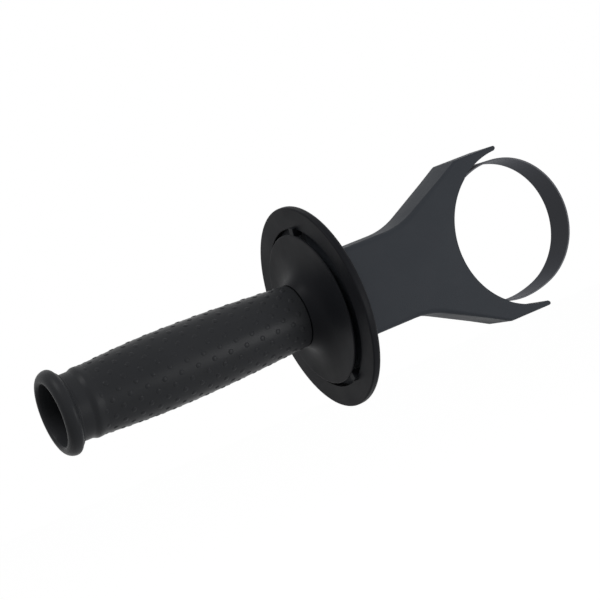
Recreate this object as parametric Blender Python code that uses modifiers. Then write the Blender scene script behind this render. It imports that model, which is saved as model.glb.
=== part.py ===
"""Side handle with a strap clamp for a heavy power tool.

The handle lies along X, its grip towards -X and its clamp ring at the origin. Y is the tool's axis,
and the fork of the clamp body spreads along Z. Turning the grip draws the steel strap into the fork.
"""
import math

import bmesh
import bpy
from mathutils import Matrix, Vector

MM = 0.001
GAP = 0.3 * MM

# Clamp ring and strap
SADDLE_CENTRE_X = 5.0 * MM
SADDLE_RADIUS = 38.0 * MM
RING_RADIUS = SADDLE_RADIUS - SADDLE_CENTRE_X - GAP
STRAP_THICKNESS = 0.9 * MM
STRAP_WIDTH = 16.0 * MM
STRAP_HOLE_RADIUS = 4.4 * MM
STRAP_BEND = 3.0 * MM
STRAP_DRAW = 2.5 * MM
STRAP_SLIP = 3.75 * MM
# How far the slack strap stands off a true ring, at some angles from +X towards +Z
STRAP_SLACK = ((92.0, 1.4 * MM), (64.0, 0.6 * MM), (33.0, -1.6 * MM), (5.0, -0.9 * MM),
               (-28.0, 0.5 * MM), (-58.0, 0.0 * MM), (-86.0, -0.3 * MM))
STRAP_STEPS = 66

# Clamp body, a fork whose saddle takes the tool's collar
BODY_THICKNESS = 23.0 * MM
BODY_WALL = 3.0 * MM
NECK_HALF = 21.5 * MM
NECK_END_X = -105.4 * MM
FLANGE_RADIUS = 38.6 * MM
FLANGE_THICKNESS = 2.4 * MM
FLANK_FOOT_X = -55.5 * MM
FLANK_ARC = 38.0 * MM
SHOULDER_X = -18.5 * MM
SHOULDER_ROUND = 2.0 * MM
SADDLE_STEP = 1.0 * MM
HORN_WALL = 1.2 * MM
FORK_HALF = SADDLE_RADIUS + SADDLE_STEP + HORN_WALL
HORN_TIP_X = 3.2 * MM
HORN_TIP_ROUND = 0.7 * MM
LAND_SHARE = 0.816
LAND_HALF = SADDLE_RADIUS * LAND_SHARE
NECK_EDGE_ROUND = 2.6 * MM
FORK_EDGE_ROUND = 1.2 * MM
EDGE_STEPS = 3
CHAMBER_HALF = 11.5 * MM
CHAMBER_PLAY = 1.25 * MM
SADDLE_WEB_HALF = 15.0 * MM
MOUTH_RISE = 1.3 * MM

# Tension bolt, nut and washer
BOLT_RADIUS = 4.0 * MM
BOLT_HEAD_X = -54.2 * MM
BOLT_HEAD_THICKNESS = 6.0 * MM
BOLT_HEAD_LENGTH = 15.0 * MM
BOLT_HEAD_WIDTH = 9.0 * MM
BOLT_LENGTH = 77.0 * MM
BOLT_CHAMFER = 1.0 * MM
BOLT_CLEARANCE = 0.3 * MM
SHANK_STEPS = 24
NUT_FLATS = 13.0 * MM
NUT_THICKNESS = 6.5 * MM
WASHER_RADIUS = 10.4 * MM
WASHER_THICKNESS = 1.6 * MM
SEAT_STEPS = 32

UPPER_TAB_X = BOLT_HEAD_X - STRAP_THICKNESS / 2 - GAP
LOWER_TAB_X = UPPER_TAB_X - STRAP_THICKNESS - GAP
CHAMBER_FRONT_X = BOLT_HEAD_X + BOLT_HEAD_THICKNESS + STRAP_SLIP + CHAMBER_PLAY
CHAMBER_BACK_X = LOWER_TAB_X - STRAP_THICKNESS / 2 - STRAP_DRAW - CHAMBER_PLAY

# Handle core with its guard
SPIGOT_RADIUS = 10.6 * MM
SPIGOT_LENGTH = 5.2 * MM
SPIGOT_CHAMFER = 1.0 * MM
HUB_RADIUS = 14.0 * MM
CORE_RADIUS = 12.7 * MM
CORE_BORE_RADIUS = 10.5 * MM
CORE_OPEN_X = -233.0 * MM
COLLAR_X = -118.9 * MM
COLLAR_RADIUS = 15.0 * MM
NUT_FLOOR_X = -114.5 * MM
BELL_FLARE = 3.0
BELL_STEPS = 9
BELL_LIP_X = -114.0 * MM
BELL_LIP_RADIUS = 36.0 * MM
BELL_LIP_THICKNESS = 1.2 * MM
BELL_WALL = 2.6 * MM
GUARD_RADIUS = 48.4 * MM
GUARD_HOLE_RADIUS = 37.2 * MM
GUARD_FRONT_X = -109.6 * MM
GUARD_THICKNESS = 3.6 * MM
GUARD_EDGE_ROUND = 1.5 * MM
BRIDGE_WIDTH = 6.5 * MM
BELL_RIBS = 6
BELL_RIB_THICKNESS = 2.0 * MM
BELL_RIB_RADIUS = 31.0 * MM
BELL_RIB_DEPTH = 4.0 * MM

# Grip sleeve
MOUTH_RADIUS = 14.3 * MM
MOUTH_DEPTH = 3.5 * MM
MOUTH_ROUND = 2.2 * MM
BEAD_RADIUS = 19.7 * MM
BEAD_WIDTH = 7.0 * MM
RING_LINE_X = -235.0 * MM
RING_LINE_RADIUS = 17.2 * MM
RING_LINE_WIDTH = 0.7 * MM
NECK_FILLET = 1.2 * MM
SLEEVE_NECK_RADIUS = 15.4 * MM
SLEEVE_NECK_X = -230.6 * MM
SHOULDER_RING_X = -226.2 * MM
SHOULDER_RING_RADIUS = 16.3 * MM
SHOULDER_RING_WIDTH = 2.6 * MM
SHOULDER_RING_DROP = 0.2 * MM
FIELD_START_X = -222.6 * MM
FIELD_START_RADIUS = 15.9 * MM
BELLY_X = -187.0 * MM
BELLY_RADIUS = 17.5 * MM
FIELD_STEPS = 14
SLEEVE_END_RADIUS = 14.7 * MM
SLEEVE_END_ROUND = 0.6 * MM
SLEEVE_LIP_X = -242.5 * MM
ROUND_STEPS = 48

# Finishes, each a name, a linear colour, a roughness and a metallic share
MOULDED = ("moulded_plastic", (0.032, 0.033, 0.036), 0.5, 0.0)
SOFT = ("soft_grip", (0.026, 0.027, 0.029), 0.6, 0.0)
DARK_STEEL = ("strap_steel", (0.07, 0.07, 0.075), 0.35, 1.0)
ZINC = ("zinc_steel", (0.55, 0.55, 0.53), 0.35, 1.0)


def clear_scene():
    """Remove every object of the file that the script is run in."""
    for obj in list(bpy.data.objects):
        bpy.data.objects.remove(obj, do_unlink=True)


def new_collection(name):
    """Add a collection to the scene."""
    collection = bpy.data.collections.new(name)
    bpy.context.scene.collection.children.link(collection)
    return collection


def make_material(name, colour, roughness, metallic):
    """Make a plain Principled material."""
    material = bpy.data.materials.new(name)
    material.use_nodes = True
    shader = material.node_tree.nodes["Principled BSDF"]
    shader.inputs["Base Color"].default_value = (*colour, 1.0)
    shader.inputs["Roughness"].default_value = roughness
    shader.inputs["Metallic"].default_value = metallic
    return material


def mesh_object(name, bm, collection, material=None):
    """Turn a bmesh into an object of a collection."""
    mesh = bpy.data.meshes.new(name)
    bm.to_mesh(mesh)
    bm.free()
    if material:
        mesh.materials.append(material)
    obj = bpy.data.objects.new(name, mesh)
    collection.objects.link(obj)
    return obj


def as_tool(obj):
    """Mark an object that only cuts or joins others."""
    obj.hide_render = True
    obj.display_type = "WIRE"
    return obj


def boolean(obj, tool, operation="DIFFERENCE"):
    """Cut a tool from an object, or join it on."""
    modifier = obj.modifiers.new(operation.title(), "BOOLEAN")
    modifier.operation = operation
    modifier.solver = "EXACT"
    modifier.object = tool


def arc(centre, radius, start, end, steps):
    """List points of an arc, its angles in radians from the first axis towards the second."""
    return [(centre[0] + radius * math.cos(start + (end - start) * i / steps),
             centre[1] + radius * math.sin(start + (end - start) * i / steps)) for i in range(steps + 1)]


def signed_area(points):
    """Give the area of a closed outline, positive when it runs anticlockwise."""
    return 0.5 * sum(a[0] * b[1] - b[0] * a[1] for a, b in zip(points, points[1:] + points[:1]))


def turned(name, profile, collection, material=None, steps=ROUND_STEPS):
    """Turn a closed profile of (x, radius) points about the handle's axis."""
    section = [(radius, x) for x, radius in profile]
    if signed_area(section) > 0:
        section.reverse()
    bm = bmesh.new()
    verts = [bm.verts.new((radius, 0.0, x)) for radius, x in section]
    for i, vert in enumerate(verts):
        bm.edges.new((vert, verts[(i + 1) % len(verts)]))
    obj = mesh_object(name, bm, collection, material)
    obj.rotation_euler = (0.0, math.pi / 2, 0.0)
    screw = obj.modifiers.new("Turn", "SCREW")
    screw.axis = "Z"
    screw.steps = steps
    screw.render_steps = steps
    screw.use_merge_vertices = True
    screw.merge_threshold = 1e-5
    return obj


def rod(name, radius, start_x, end_x, collection, steps=ROUND_STEPS, material=None):
    """Add a cylinder along the handle's axis."""
    bm = bmesh.new()
    bmesh.ops.create_cone(bm, cap_ends=True, segments=steps, radius1=radius, radius2=radius,
                          depth=end_x - start_x)
    obj = mesh_object(name, bm, collection, material)
    obj.rotation_euler = (0.0, math.pi / 2, 0.0)
    obj.location.x = (start_x + end_x) / 2
    return obj


def block(name, low, high, collection, material=None):
    """Add a box between two corners."""
    bm = bmesh.new()
    bmesh.ops.create_cube(bm, size=1.0)
    size = Vector(high) - Vector(low)
    bmesh.ops.scale(bm, vec=size, verts=bm.verts)
    obj = mesh_object(name, bm, collection, material)
    obj.location = (Vector(low) + Vector(high)) / 2
    return obj


def plate(name, outline, thickness, collection, material=None):
    """Extrude an outline of (x, z) points along Y, half to each side, and return it as a mesh."""
    curve = bpy.data.curves.new(name, "CURVE")
    curve.dimensions = "2D"
    curve.fill_mode = "BOTH"
    curve.extrude = thickness / 2
    spline = curve.splines.new("POLY")
    spline.points.add(len(outline) - 1)
    for point, (x, z) in zip(spline.points, outline):
        point.co = (x, z, 0.0, 1.0)
    spline.use_cyclic_u = True
    source = bpy.data.objects.new(name + "_outline", curve)
    source.rotation_euler = (math.pi / 2, 0.0, 0.0)
    collection.objects.link(source)
    bpy.context.view_layer.update()
    evaluated = source.evaluated_get(bpy.context.evaluated_depsgraph_get())
    mesh = bpy.data.meshes.new_from_object(evaluated)
    bm = bmesh.new()
    bm.from_mesh(mesh)
    bmesh.ops.remove_doubles(bm, verts=bm.verts, dist=1e-6)
    bmesh.ops.dissolve_limit(bm, angle_limit=math.radians(0.1), verts=bm.verts, edges=bm.edges)
    bmesh.ops.recalc_face_normals(bm, faces=bm.faces)
    bpy.data.meshes.remove(mesh)
    obj = mesh_object(name, bm, collection, material)
    obj.matrix_world = source.matrix_world
    bpy.data.objects.remove(source)
    return obj


def flank_slope():
    """Give the angle of the fork's flank to the handle's axis."""
    return math.atan2(FORK_HALF - NECK_HALF, SHOULDER_X - FLANK_FOOT_X)


def saddle_x(half_height, radius=SADDLE_RADIUS):
    """Give where a saddle arc lies at a height off the axis."""
    return SADDLE_CENTRE_X - math.sqrt(radius ** 2 - half_height ** 2)


def fork_upper_outline():
    """List the fork's outline from inside its end flange over the upper horn to the saddle's middle."""
    slope = flank_slope()
    reach = FLANK_ARC * math.tan(slope / 2)
    points = [(NECK_END_X + FLANGE_THICKNESS / 2, NECK_HALF)]
    centre = (FLANK_FOOT_X - reach, NECK_HALF + FLANK_ARC)
    points += arc(centre, FLANK_ARC, -math.pi / 2, -math.pi / 2 + slope, 6)
    points += [(FLANK_FOOT_X + run * math.cos(slope), NECK_HALF + run * math.sin(slope))
               for run in (FLANK_ARC / 3, FLANK_ARC * 2 / 3)]
    points += arc((SHOULDER_X, FORK_HALF - SHOULDER_ROUND), SHOULDER_ROUND,
                  math.pi / 2 + slope, math.pi / 2, 3)
    points += arc((HORN_TIP_X - HORN_TIP_ROUND, FORK_HALF - HORN_TIP_ROUND), HORN_TIP_ROUND,
                  math.pi / 2, 0.0, 3)
    horn_radius = SADDLE_RADIUS + SADDLE_STEP
    tip_angle = math.acos((HORN_TIP_X - SADDLE_CENTRE_X) / horn_radius)
    root_angle = math.pi - math.asin((LAND_HALF + SADDLE_STEP) / horn_radius)
    points += arc((SADDLE_CENTRE_X, 0.0), horn_radius, tip_angle, root_angle, 10)
    land_angle = math.pi - math.asin(LAND_HALF / SADDLE_RADIUS)
    points += arc((SADDLE_CENTRE_X, 0.0), SADDLE_RADIUS, land_angle, math.pi, 12)
    return points


def fork_outline():
    """Mirror the upper outline to close the fork."""
    upper = fork_upper_outline()
    lower = [(x, -z) for x, z in reversed(upper[:-1])]
    return upper + lower


def inset_directions(points):
    """Give the inward mitre at each point of an open line that runs clockwise, its ends joined straight."""
    normals = [(Vector(b) - Vector(a)).normalized() for a, b in zip(points, points[1:])]
    normals = [Vector((n.y, -n.x)) for n in normals]
    pairs = zip(normals[:1] + normals, normals + normals[-1:])
    return [(a + b) / (1.0 + a.dot(b)) for a, b in pairs]


def edge_round(x, z):
    """Give how widely the face edges are rounded at a point of the fork's outline."""
    if math.hypot(x - SADDLE_CENTRE_X, z) < SADDLE_RADIUS + SADDLE_STEP + GAP:
        return 0.0
    if x > HORN_TIP_X - HORN_TIP_ROUND - GAP:
        return HORN_TIP_ROUND / 2
    share = min(max((x - FLANK_FOOT_X) / (SHOULDER_X - FLANK_FOOT_X), 0.0), 1.0)
    return NECK_EDGE_ROUND + (FORK_EDGE_ROUND - NECK_EDGE_ROUND) * share


def fork_blank(name, collection, material):
    """Loft the fork between its two faces, with rounded edges but for the saddle's."""
    outline = fork_outline()
    inward = inset_directions(outline)
    rounds = [edge_round(x, z) for x, z in outline]
    bm = bmesh.new()
    rings = []
    turns = [math.pi / 2 * i / EDGE_STEPS for i in range(EDGE_STEPS + 1)]
    for side, angles in ((-1, reversed(turns)), (1, turns)):
        for angle in angles:
            ring = []
            for point, way, radius in zip(outline, inward, rounds):
                x, z = Vector(point) + way * radius * (1 - math.cos(angle))
                y = side * (BODY_THICKNESS / 2 - radius * (1 - math.sin(angle)))
                ring.append(bm.verts.new((x, y, z)))
            rings.append(ring)
    for near, far in zip(rings, rings[1:]):
        for i in range(len(outline)):
            j = (i + 1) % len(outline)
            bm.faces.new((near[i], near[j], far[j], far[i]))
    bmesh.ops.triangulate(bm, faces=bm.faces)
    bm.faces.new(rings[0])
    bm.faces.new(rings[-1])
    bmesh.ops.remove_doubles(bm, verts=bm.verts, dist=1e-6)
    bmesh.ops.recalc_face_normals(bm, faces=bm.faces)
    return mesh_object(name, bm, collection, material)


def strap_pocket_outline():
    """List the upper half of the pocket, wide enough for the strap's leg as it is drawn and slipped."""
    mouth_x = saddle_x(LAND_HALF)
    leg = leg_direction()
    knee_x = strap_knee(LOWER_TAB_X)[0]
    top = LAND_HALF + SADDLE_STEP + MOUTH_RISE
    reach = STRAP_DRAW + GAP + (STRAP_THICKNESS / 2 + GAP) / leg[1]
    outer_knee_x = knee_x - reach + (top - strap_mouth_height()) * leg[0] / leg[1]
    outer_foot_x = outer_knee_x - (top - CHAMBER_HALF) * leg[0] / leg[1]
    return [(mouth_x + 2 * STRAP_THICKNESS, top), (outer_knee_x, top), (outer_foot_x, CHAMBER_HALF),
            (CHAMBER_BACK_X, CHAMBER_HALF), (CHAMBER_BACK_X, 0.0), (CHAMBER_FRONT_X, 0.0),
            (CHAMBER_FRONT_X, SADDLE_WEB_HALF / 2),
            (saddle_x(SADDLE_WEB_HALF) + 2 * STRAP_THICKNESS, SADDLE_WEB_HALF)]


def strap_mouth_height():
    """Give the height of the strap's middle line where it leaves the saddle's end."""
    return LAND_HALF + SADDLE_STEP - STRAP_THICKNESS / 2 - GAP


def leg_direction():
    """Give the unit direction of the strap's upper leg, from the bolt towards the horn."""
    foot = Vector((UPPER_TAB_X, CHAMBER_HALF - STRAP_BEND))
    knee = Vector((saddle_x(LAND_HALF) - STRAP_BEND, strap_mouth_height()))
    return (knee - foot).normalized()


def strap_knee(tab_x):
    """Give where a leg that starts at a tab turns towards its mouth."""
    leg = leg_direction()
    rise = strap_mouth_height() - (CHAMBER_HALF - STRAP_BEND)
    return tab_x + rise * leg[0] / leg[1], strap_mouth_height()


def build_clamp_body(collection, tools, material):
    """Build the fork with its end flange, strap pocket, bolt bore and washer seat."""
    body = fork_blank("clamp_body", collection, material)
    flange = rod("neck_flange", FLANGE_RADIUS, NECK_END_X, NECK_END_X + FLANGE_THICKNESS, tools)
    boolean(body, as_tool(flange), "UNION")
    pocket_width = BODY_THICKNESS - 2 * BODY_WALL
    upper = strap_pocket_outline()
    for side, name in ((1, "pocket_upper"), (-1, "pocket_lower")):
        outline = [(x, z * side) for x, z in upper]
        boolean(body, as_tool(plate(name, outline, pocket_width, tools)))
    bore = rod("bolt_bore", BOLT_RADIUS + BOLT_CLEARANCE, NECK_END_X - MM, CHAMBER_BACK_X + MM, tools,
               SHANK_STEPS)
    boolean(body, as_tool(bore))
    seat_floor = NECK_END_X + SPIGOT_LENGTH + WASHER_THICKNESS + GAP
    seat = rod("spigot_seat", SPIGOT_RADIUS + GAP, NECK_END_X - MM, seat_floor, tools, SEAT_STEPS)
    boolean(body, as_tool(seat))
    return body


def slack_knots():
    """List the strap's middle line as (angle, radius) from its upper to its lower mouth."""
    mouth_x, mouth_z = saddle_x(LAND_HALF), strap_mouth_height()
    mouth = math.degrees(math.atan2(mouth_z, mouth_x)), math.hypot(mouth_x, mouth_z)
    middle = RING_RADIUS - STRAP_THICKNESS / 2
    return [mouth] + [(angle, middle + slack) for angle, slack in STRAP_SLACK] + [(-mouth[0], mouth[1])]


def smooth_radius(knots, angle):
    """Blend the knots' radii along a smooth curve."""
    slopes = []
    for i in range(len(knots)):
        before, after = knots[max(i - 1, 0)], knots[min(i + 1, len(knots) - 1)]
        slopes.append((after[1] - before[1]) / (after[0] - before[0]))
    i = next(n for n in range(len(knots) - 1) if angle >= knots[n + 1][0] - 1e-9)
    (a, first), (b, second) = knots[i], knots[i + 1]
    span = b - a
    t = (angle - a) / span
    return ((2 * t ** 3 - 3 * t ** 2 + 1) * first + (t ** 3 - 2 * t ** 2 + t) * span * slopes[i]
            + (3 * t ** 2 - 2 * t ** 3) * second + (t ** 3 - t ** 2) * span * slopes[i + 1])


def bend(before, corner, after, radius, steps):
    """Round a corner between two straight runs with an arc."""
    corner = Vector(corner)
    a = (Vector(before) - corner).normalized()
    b = (Vector(after) - corner).normalized()
    half = a.angle(b) / 2
    centre = corner + (a + b).normalized() * radius / math.sin(half)
    start = corner + a * radius / math.tan(half) - centre
    turn = start.angle_signed(corner + b * radius / math.tan(half) - centre)
    return [tuple(centre + Matrix.Rotation(-turn * i / steps, 2) @ start) for i in range(steps + 1)]


def strap_leg(side, tab_x):
    """List the middle line of one leg, from its tab's end towards its mouth beside the horn."""
    tab_end = (tab_x, -side * BOLT_HEAD_LENGTH / 2)
    foot = (tab_x, side * (CHAMBER_HALF - STRAP_BEND))
    knee = (strap_knee(tab_x)[0], side * strap_mouth_height())
    points = [tab_end]
    points += bend(tab_end, foot, knee, STRAP_BEND, 5)
    points += bend(foot, knee, (0.0, knee[1]), STRAP_BEND, 4)
    return points


def strap_middle_line():
    """List the strap's middle line from one bolt tab round the ring to the other."""
    knots = slack_knots()
    top, bottom = knots[0][0], knots[-1][0]
    ring = []
    for i in range(STRAP_STEPS + 1):
        angle = top + (bottom - top) * i / STRAP_STEPS
        radius = smooth_radius(knots, angle)
        ring.append((radius * math.cos(math.radians(angle)), radius * math.sin(math.radians(angle))))
    return strap_leg(1, UPPER_TAB_X) + ring + list(reversed(strap_leg(-1, LOWER_TAB_X)))


def build_clamp_strap(collection, tools, material):
    """Build the steel strap with the bolt holes through its two tabs."""
    bm = bmesh.new()
    line = [bm.verts.new((x, -STRAP_WIDTH / 2, z)) for x, z in strap_middle_line()]
    edges = [bm.edges.new(pair) for pair in zip(line, line[1:])]
    wide = bmesh.ops.extrude_edge_only(bm, edges=edges)
    moved = [item for item in wide["geom"] if isinstance(item, bmesh.types.BMVert)]
    bmesh.ops.translate(bm, verts=moved, vec=(0.0, STRAP_WIDTH, 0.0))
    strap = mesh_object("clamp_strap", bm, collection, material)
    solidify = strap.modifiers.new("Thickness", "SOLIDIFY")
    solidify.thickness = STRAP_THICKNESS
    solidify.offset = 0.0
    solidify.use_even_offset = True
    hole = rod("strap_holes", STRAP_HOLE_RADIUS, LOWER_TAB_X - STRAP_THICKNESS, BOLT_HEAD_X + MM, tools,
               SHANK_STEPS)
    boolean(strap, as_tool(hole))
    return strap


def build_tension_bolt(collection, tools, material):
    """Build the hammer-head bolt whose shank runs through the neck into the grip."""
    end_x = BOLT_HEAD_X - BOLT_LENGTH
    overlap = BOLT_HEAD_THICKNESS / 2
    profile = [(end_x, 0.0), (end_x, BOLT_RADIUS - BOLT_CHAMFER), (end_x + BOLT_CHAMFER, BOLT_RADIUS),
               (BOLT_HEAD_X + overlap, BOLT_RADIUS), (BOLT_HEAD_X + overlap, 0.0)]
    bolt = turned("tension_bolt", profile, collection, material, SHANK_STEPS)
    weld = bolt.modifiers.new("Axis", "WELD")
    weld.merge_threshold = 1e-5
    low = (BOLT_HEAD_X, -BOLT_HEAD_WIDTH / 2, -BOLT_HEAD_LENGTH / 2)
    high = (BOLT_HEAD_X + BOLT_HEAD_THICKNESS, BOLT_HEAD_WIDTH / 2, BOLT_HEAD_LENGTH / 2)
    head = block("bolt_head", low, high, tools)
    bevel = head.modifiers.new("Edges", "BEVEL")
    bevel.width = BOLT_CHAMFER
    bevel.segments = 2
    boolean(bolt, as_tool(head), "UNION")
    return bolt


def build_nut(collection, tools, material):
    """Build the hexagon nut that the grip's core holds."""
    start = NUT_FLOOR_X - GAP - NUT_THICKNESS
    nut = rod("hex_nut", NUT_FLATS / math.sqrt(3), start, start + NUT_THICKNESS, collection, 6, material)
    bore = rod("nut_bore", BOLT_RADIUS + BOLT_CLEARANCE, start - MM, NUT_FLOOR_X + MM, tools, SHANK_STEPS)
    boolean(nut, as_tool(bore))
    return nut


def build_washer(collection, material):
    """Build the thrust washer between the neck and the grip's spigot."""
    back = NECK_END_X + SPIGOT_LENGTH
    profile = [(back, BOLT_RADIUS + BOLT_CLEARANCE), (back, WASHER_RADIUS),
               (back + WASHER_THICKNESS, WASHER_RADIUS),
               (back + WASHER_THICKNESS, BOLT_RADIUS + BOLT_CLEARANCE)]
    return turned("thrust_washer", profile, collection, material, SEAT_STEPS)


def core_profile():
    """List the section of the core: tube, collar, bell, hub and spigot."""
    hub_end = NECK_END_X - GAP
    spigot_end = NECK_END_X + SPIGOT_LENGTH - GAP
    bore = BOLT_RADIUS + BOLT_CLEARANCE
    points = [(CORE_OPEN_X, CORE_BORE_RADIUS), (CORE_OPEN_X, CORE_RADIUS), (COLLAR_X, CORE_RADIUS),
              (COLLAR_X, COLLAR_RADIUS)]
    # The bell flares from the collar in a trumpet curve and ends in a thin lip
    lip = BELL_LIP_THICKNESS / 2
    rise, reach = BELL_LIP_X - COLLAR_X, BELL_LIP_RADIUS - lip - COLLAR_RADIUS
    for i in range(1, BELL_STEPS):
        share = 1 - i / BELL_STEPS
        points.append((BELL_LIP_X - rise * share ** BELL_FLARE, COLLAR_RADIUS + reach * (1 - share)))
    points += arc((BELL_LIP_X + lip, BELL_LIP_RADIUS - lip), lip, math.pi, 0.0, 4)
    under_x = BELL_LIP_X + BELL_WALL
    points += [(under_x, (HUB_RADIUS + BELL_LIP_RADIUS) / 2)]
    points += arc((under_x + BELL_WALL, HUB_RADIUS + BELL_WALL), BELL_WALL, math.pi, 1.5 * math.pi, 3)
    points += [(hub_end, HUB_RADIUS), (hub_end, SPIGOT_RADIUS),
               (spigot_end - SPIGOT_CHAMFER, SPIGOT_RADIUS), (spigot_end, SPIGOT_RADIUS - SPIGOT_CHAMFER),
               (spigot_end, bore), (NUT_FLOOR_X - NUT_THICKNESS - 2 * GAP, bore),
               (NUT_FLOOR_X - NUT_THICKNESS - 2 * GAP, CORE_BORE_RADIUS)]
    return points


def guard_profile():
    """List the section of the guard's flat ring."""
    back = GUARD_FRONT_X + GUARD_THICKNESS
    edge = GUARD_EDGE_ROUND
    rim = GUARD_RADIUS - edge
    return [(back, GUARD_HOLE_RADIUS), (GUARD_FRONT_X, GUARD_HOLE_RADIUS)] + \
        arc((GUARD_FRONT_X + edge, rim), edge, math.pi, math.pi / 2, 3) + \
        arc((back - edge, rim), edge, math.pi / 2, 0.0, 3)


def build_handle_core(collection, tools, material):
    """Build the grip's core: a tube, the bell and the guard ring on its two bridges."""
    core = turned("handle_core", core_profile(), collection, material)
    flats = NUT_FLATS + 2 * GAP
    pocket = rod("nut_pocket", flats / math.sqrt(3), COLLAR_X - 2 * NUT_THICKNESS, NUT_FLOOR_X, tools, 6)
    boolean(core, as_tool(pocket))
    boolean(core, as_tool(turned("guard_ring", guard_profile(), tools)), "UNION")
    for side in (1, -1):
        inner = side * (BELL_LIP_RADIUS - MM)
        outer = side * (GUARD_HOLE_RADIUS + MM)
        low = (BELL_LIP_X + BELL_LIP_THICKNESS / 2, -BRIDGE_WIDTH / 2, min(inner, outer))
        high = (GUARD_FRONT_X + GUARD_THICKNESS - BELL_LIP_THICKNESS / 2, BRIDGE_WIDTH / 2, max(inner, outer))
        boolean(core, as_tool(block("bridge", low, high, tools)), "UNION")
    for i in range(BELL_RIBS):
        rib = bell_rib(tools)
        rib.rotation_euler.x = 2 * math.pi * i / BELL_RIBS
        boolean(core, rib, "UNION")
    return core


def bell_rib(tools):
    """Make one rib that stiffens the bell's hollow side, standing along Z before it is turned."""
    bm = bmesh.new()
    bmesh.ops.create_cube(bm, size=1.0)
    low = Vector((BELL_LIP_X + BELL_WALL / 2, -BELL_RIB_THICKNESS / 2, HUB_RADIUS - BELL_WALL))
    high = Vector((BELL_LIP_X + BELL_WALL + BELL_RIB_DEPTH, BELL_RIB_THICKNESS / 2, BELL_RIB_RADIUS))
    bmesh.ops.scale(bm, vec=high - low, verts=bm.verts)
    bmesh.ops.translate(bm, vec=(high + low) / 2, verts=bm.verts)
    sloped = [v for v in bm.verts if v.co.z > HUB_RADIUS and v.co.x > BELL_LIP_X + BELL_WALL]
    bmesh.ops.translate(bm, vec=(BELL_WALL / 2 - BELL_RIB_DEPTH, 0.0, 0.0), verts=sloped)
    return as_tool(mesh_object("bell_rib", bm, tools))


def barrel_radius(x):
    """Give the sleeve's outer radius in its swelling field."""
    if x < BELLY_X:
        share = (BELLY_X - x) / (BELLY_X - FIELD_START_X)
        end = FIELD_START_RADIUS
    else:
        share = (x - BELLY_X) / (COLLAR_X - BELLY_X)
        end = SLEEVE_END_RADIUS
    return end + (BELLY_RADIUS - end) * math.cos(math.pi / 2 * share)


def sleeve_profile():
    """List the section of the soft sleeve with its rolled mouth."""
    inner = CORE_RADIUS + GAP
    end_x = COLLAR_X - GAP
    lip_x = SLEEVE_LIP_X
    points = [(lip_x + MOUTH_DEPTH, inner)]
    points += arc((lip_x + MOUTH_ROUND, MOUTH_RADIUS + MOUTH_ROUND), MOUTH_ROUND,
                  math.radians(270), math.radians(150), 4)
    bead = BEAD_WIDTH / 3
    points += arc((lip_x + BEAD_WIDTH - bead, BEAD_RADIUS - bead), bead,
                  math.radians(125), math.radians(10), 6)
    ring_end = RING_LINE_X + RING_LINE_WIDTH
    points += [(RING_LINE_X, RING_LINE_RADIUS), (ring_end, RING_LINE_RADIUS)]
    points += arc((ring_end + NECK_FILLET, SLEEVE_NECK_RADIUS + NECK_FILLET), NECK_FILLET,
                  math.pi, 1.5 * math.pi, 3)
    half = SHOULDER_RING_WIDTH / 2
    side = SHOULDER_RING_RADIUS - SHOULDER_RING_DROP
    points += [(SLEEVE_NECK_X + NECK_FILLET, SLEEVE_NECK_RADIUS), (SHOULDER_RING_X - half, side),
               (SHOULDER_RING_X, SHOULDER_RING_RADIUS), (SHOULDER_RING_X + half, side),
               (FIELD_START_X, FIELD_START_RADIUS)]
    for i in range(1, FIELD_STEPS):
        x = FIELD_START_X + (end_x - MM - FIELD_START_X) * i / FIELD_STEPS
        points.append((x, barrel_radius(x)))
    points += [(end_x - SLEEVE_END_ROUND, SLEEVE_END_RADIUS), (end_x, SLEEVE_END_RADIUS - SLEEVE_END_ROUND),
               (end_x, inner)]
    return points


def build_side_handle():
    """Build every piece of the side handle."""
    clear_scene()
    parts = new_collection("side_handle")
    tools = new_collection("cutters")
    moulded, soft, dark_steel, zinc = (make_material(*finish)
                                       for finish in (MOULDED, SOFT, DARK_STEEL, ZINC))
    build_clamp_body(parts, tools, moulded)
    build_clamp_strap(parts, tools, dark_steel)
    build_tension_bolt(parts, tools, zinc)
    build_nut(parts, tools, zinc)
    build_washer(parts, zinc)
    build_handle_core(parts, tools, moulded)
    turned("grip_sleeve", sleeve_profile(), parts, soft)


build_side_handle()
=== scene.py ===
"""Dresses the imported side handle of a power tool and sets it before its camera.

The handle lies along X, its grip towards -X and its clamp ring at the origin. Y is the tool's axis, and the
fork of the clamp body spreads along Z. Each sub-assembly is a class that holds its sizes, models its pieces
with Blender's operators and dresses them in their finishes.
"""
from __future__ import annotations

import logging
import math
from dataclasses import dataclass, field
from enum import Enum
from typing import Callable, Sequence

import bmesh
import bpy
from mathutils import Matrix, Vector

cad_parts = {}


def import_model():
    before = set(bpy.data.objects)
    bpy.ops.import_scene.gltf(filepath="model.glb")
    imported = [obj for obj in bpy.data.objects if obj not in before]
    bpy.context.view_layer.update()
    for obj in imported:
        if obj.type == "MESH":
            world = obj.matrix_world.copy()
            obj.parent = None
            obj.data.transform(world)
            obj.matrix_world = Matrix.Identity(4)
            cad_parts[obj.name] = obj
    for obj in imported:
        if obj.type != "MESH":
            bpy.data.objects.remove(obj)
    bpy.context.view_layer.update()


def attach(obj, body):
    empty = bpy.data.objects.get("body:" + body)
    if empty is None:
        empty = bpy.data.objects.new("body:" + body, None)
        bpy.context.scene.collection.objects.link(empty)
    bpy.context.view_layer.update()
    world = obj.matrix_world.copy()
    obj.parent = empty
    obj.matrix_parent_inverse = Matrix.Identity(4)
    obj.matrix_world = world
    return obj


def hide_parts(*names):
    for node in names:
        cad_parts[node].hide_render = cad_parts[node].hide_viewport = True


LOG = logging.getLogger("side_handle")
MM = 0.001
GAP = 0.3 * MM
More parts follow.
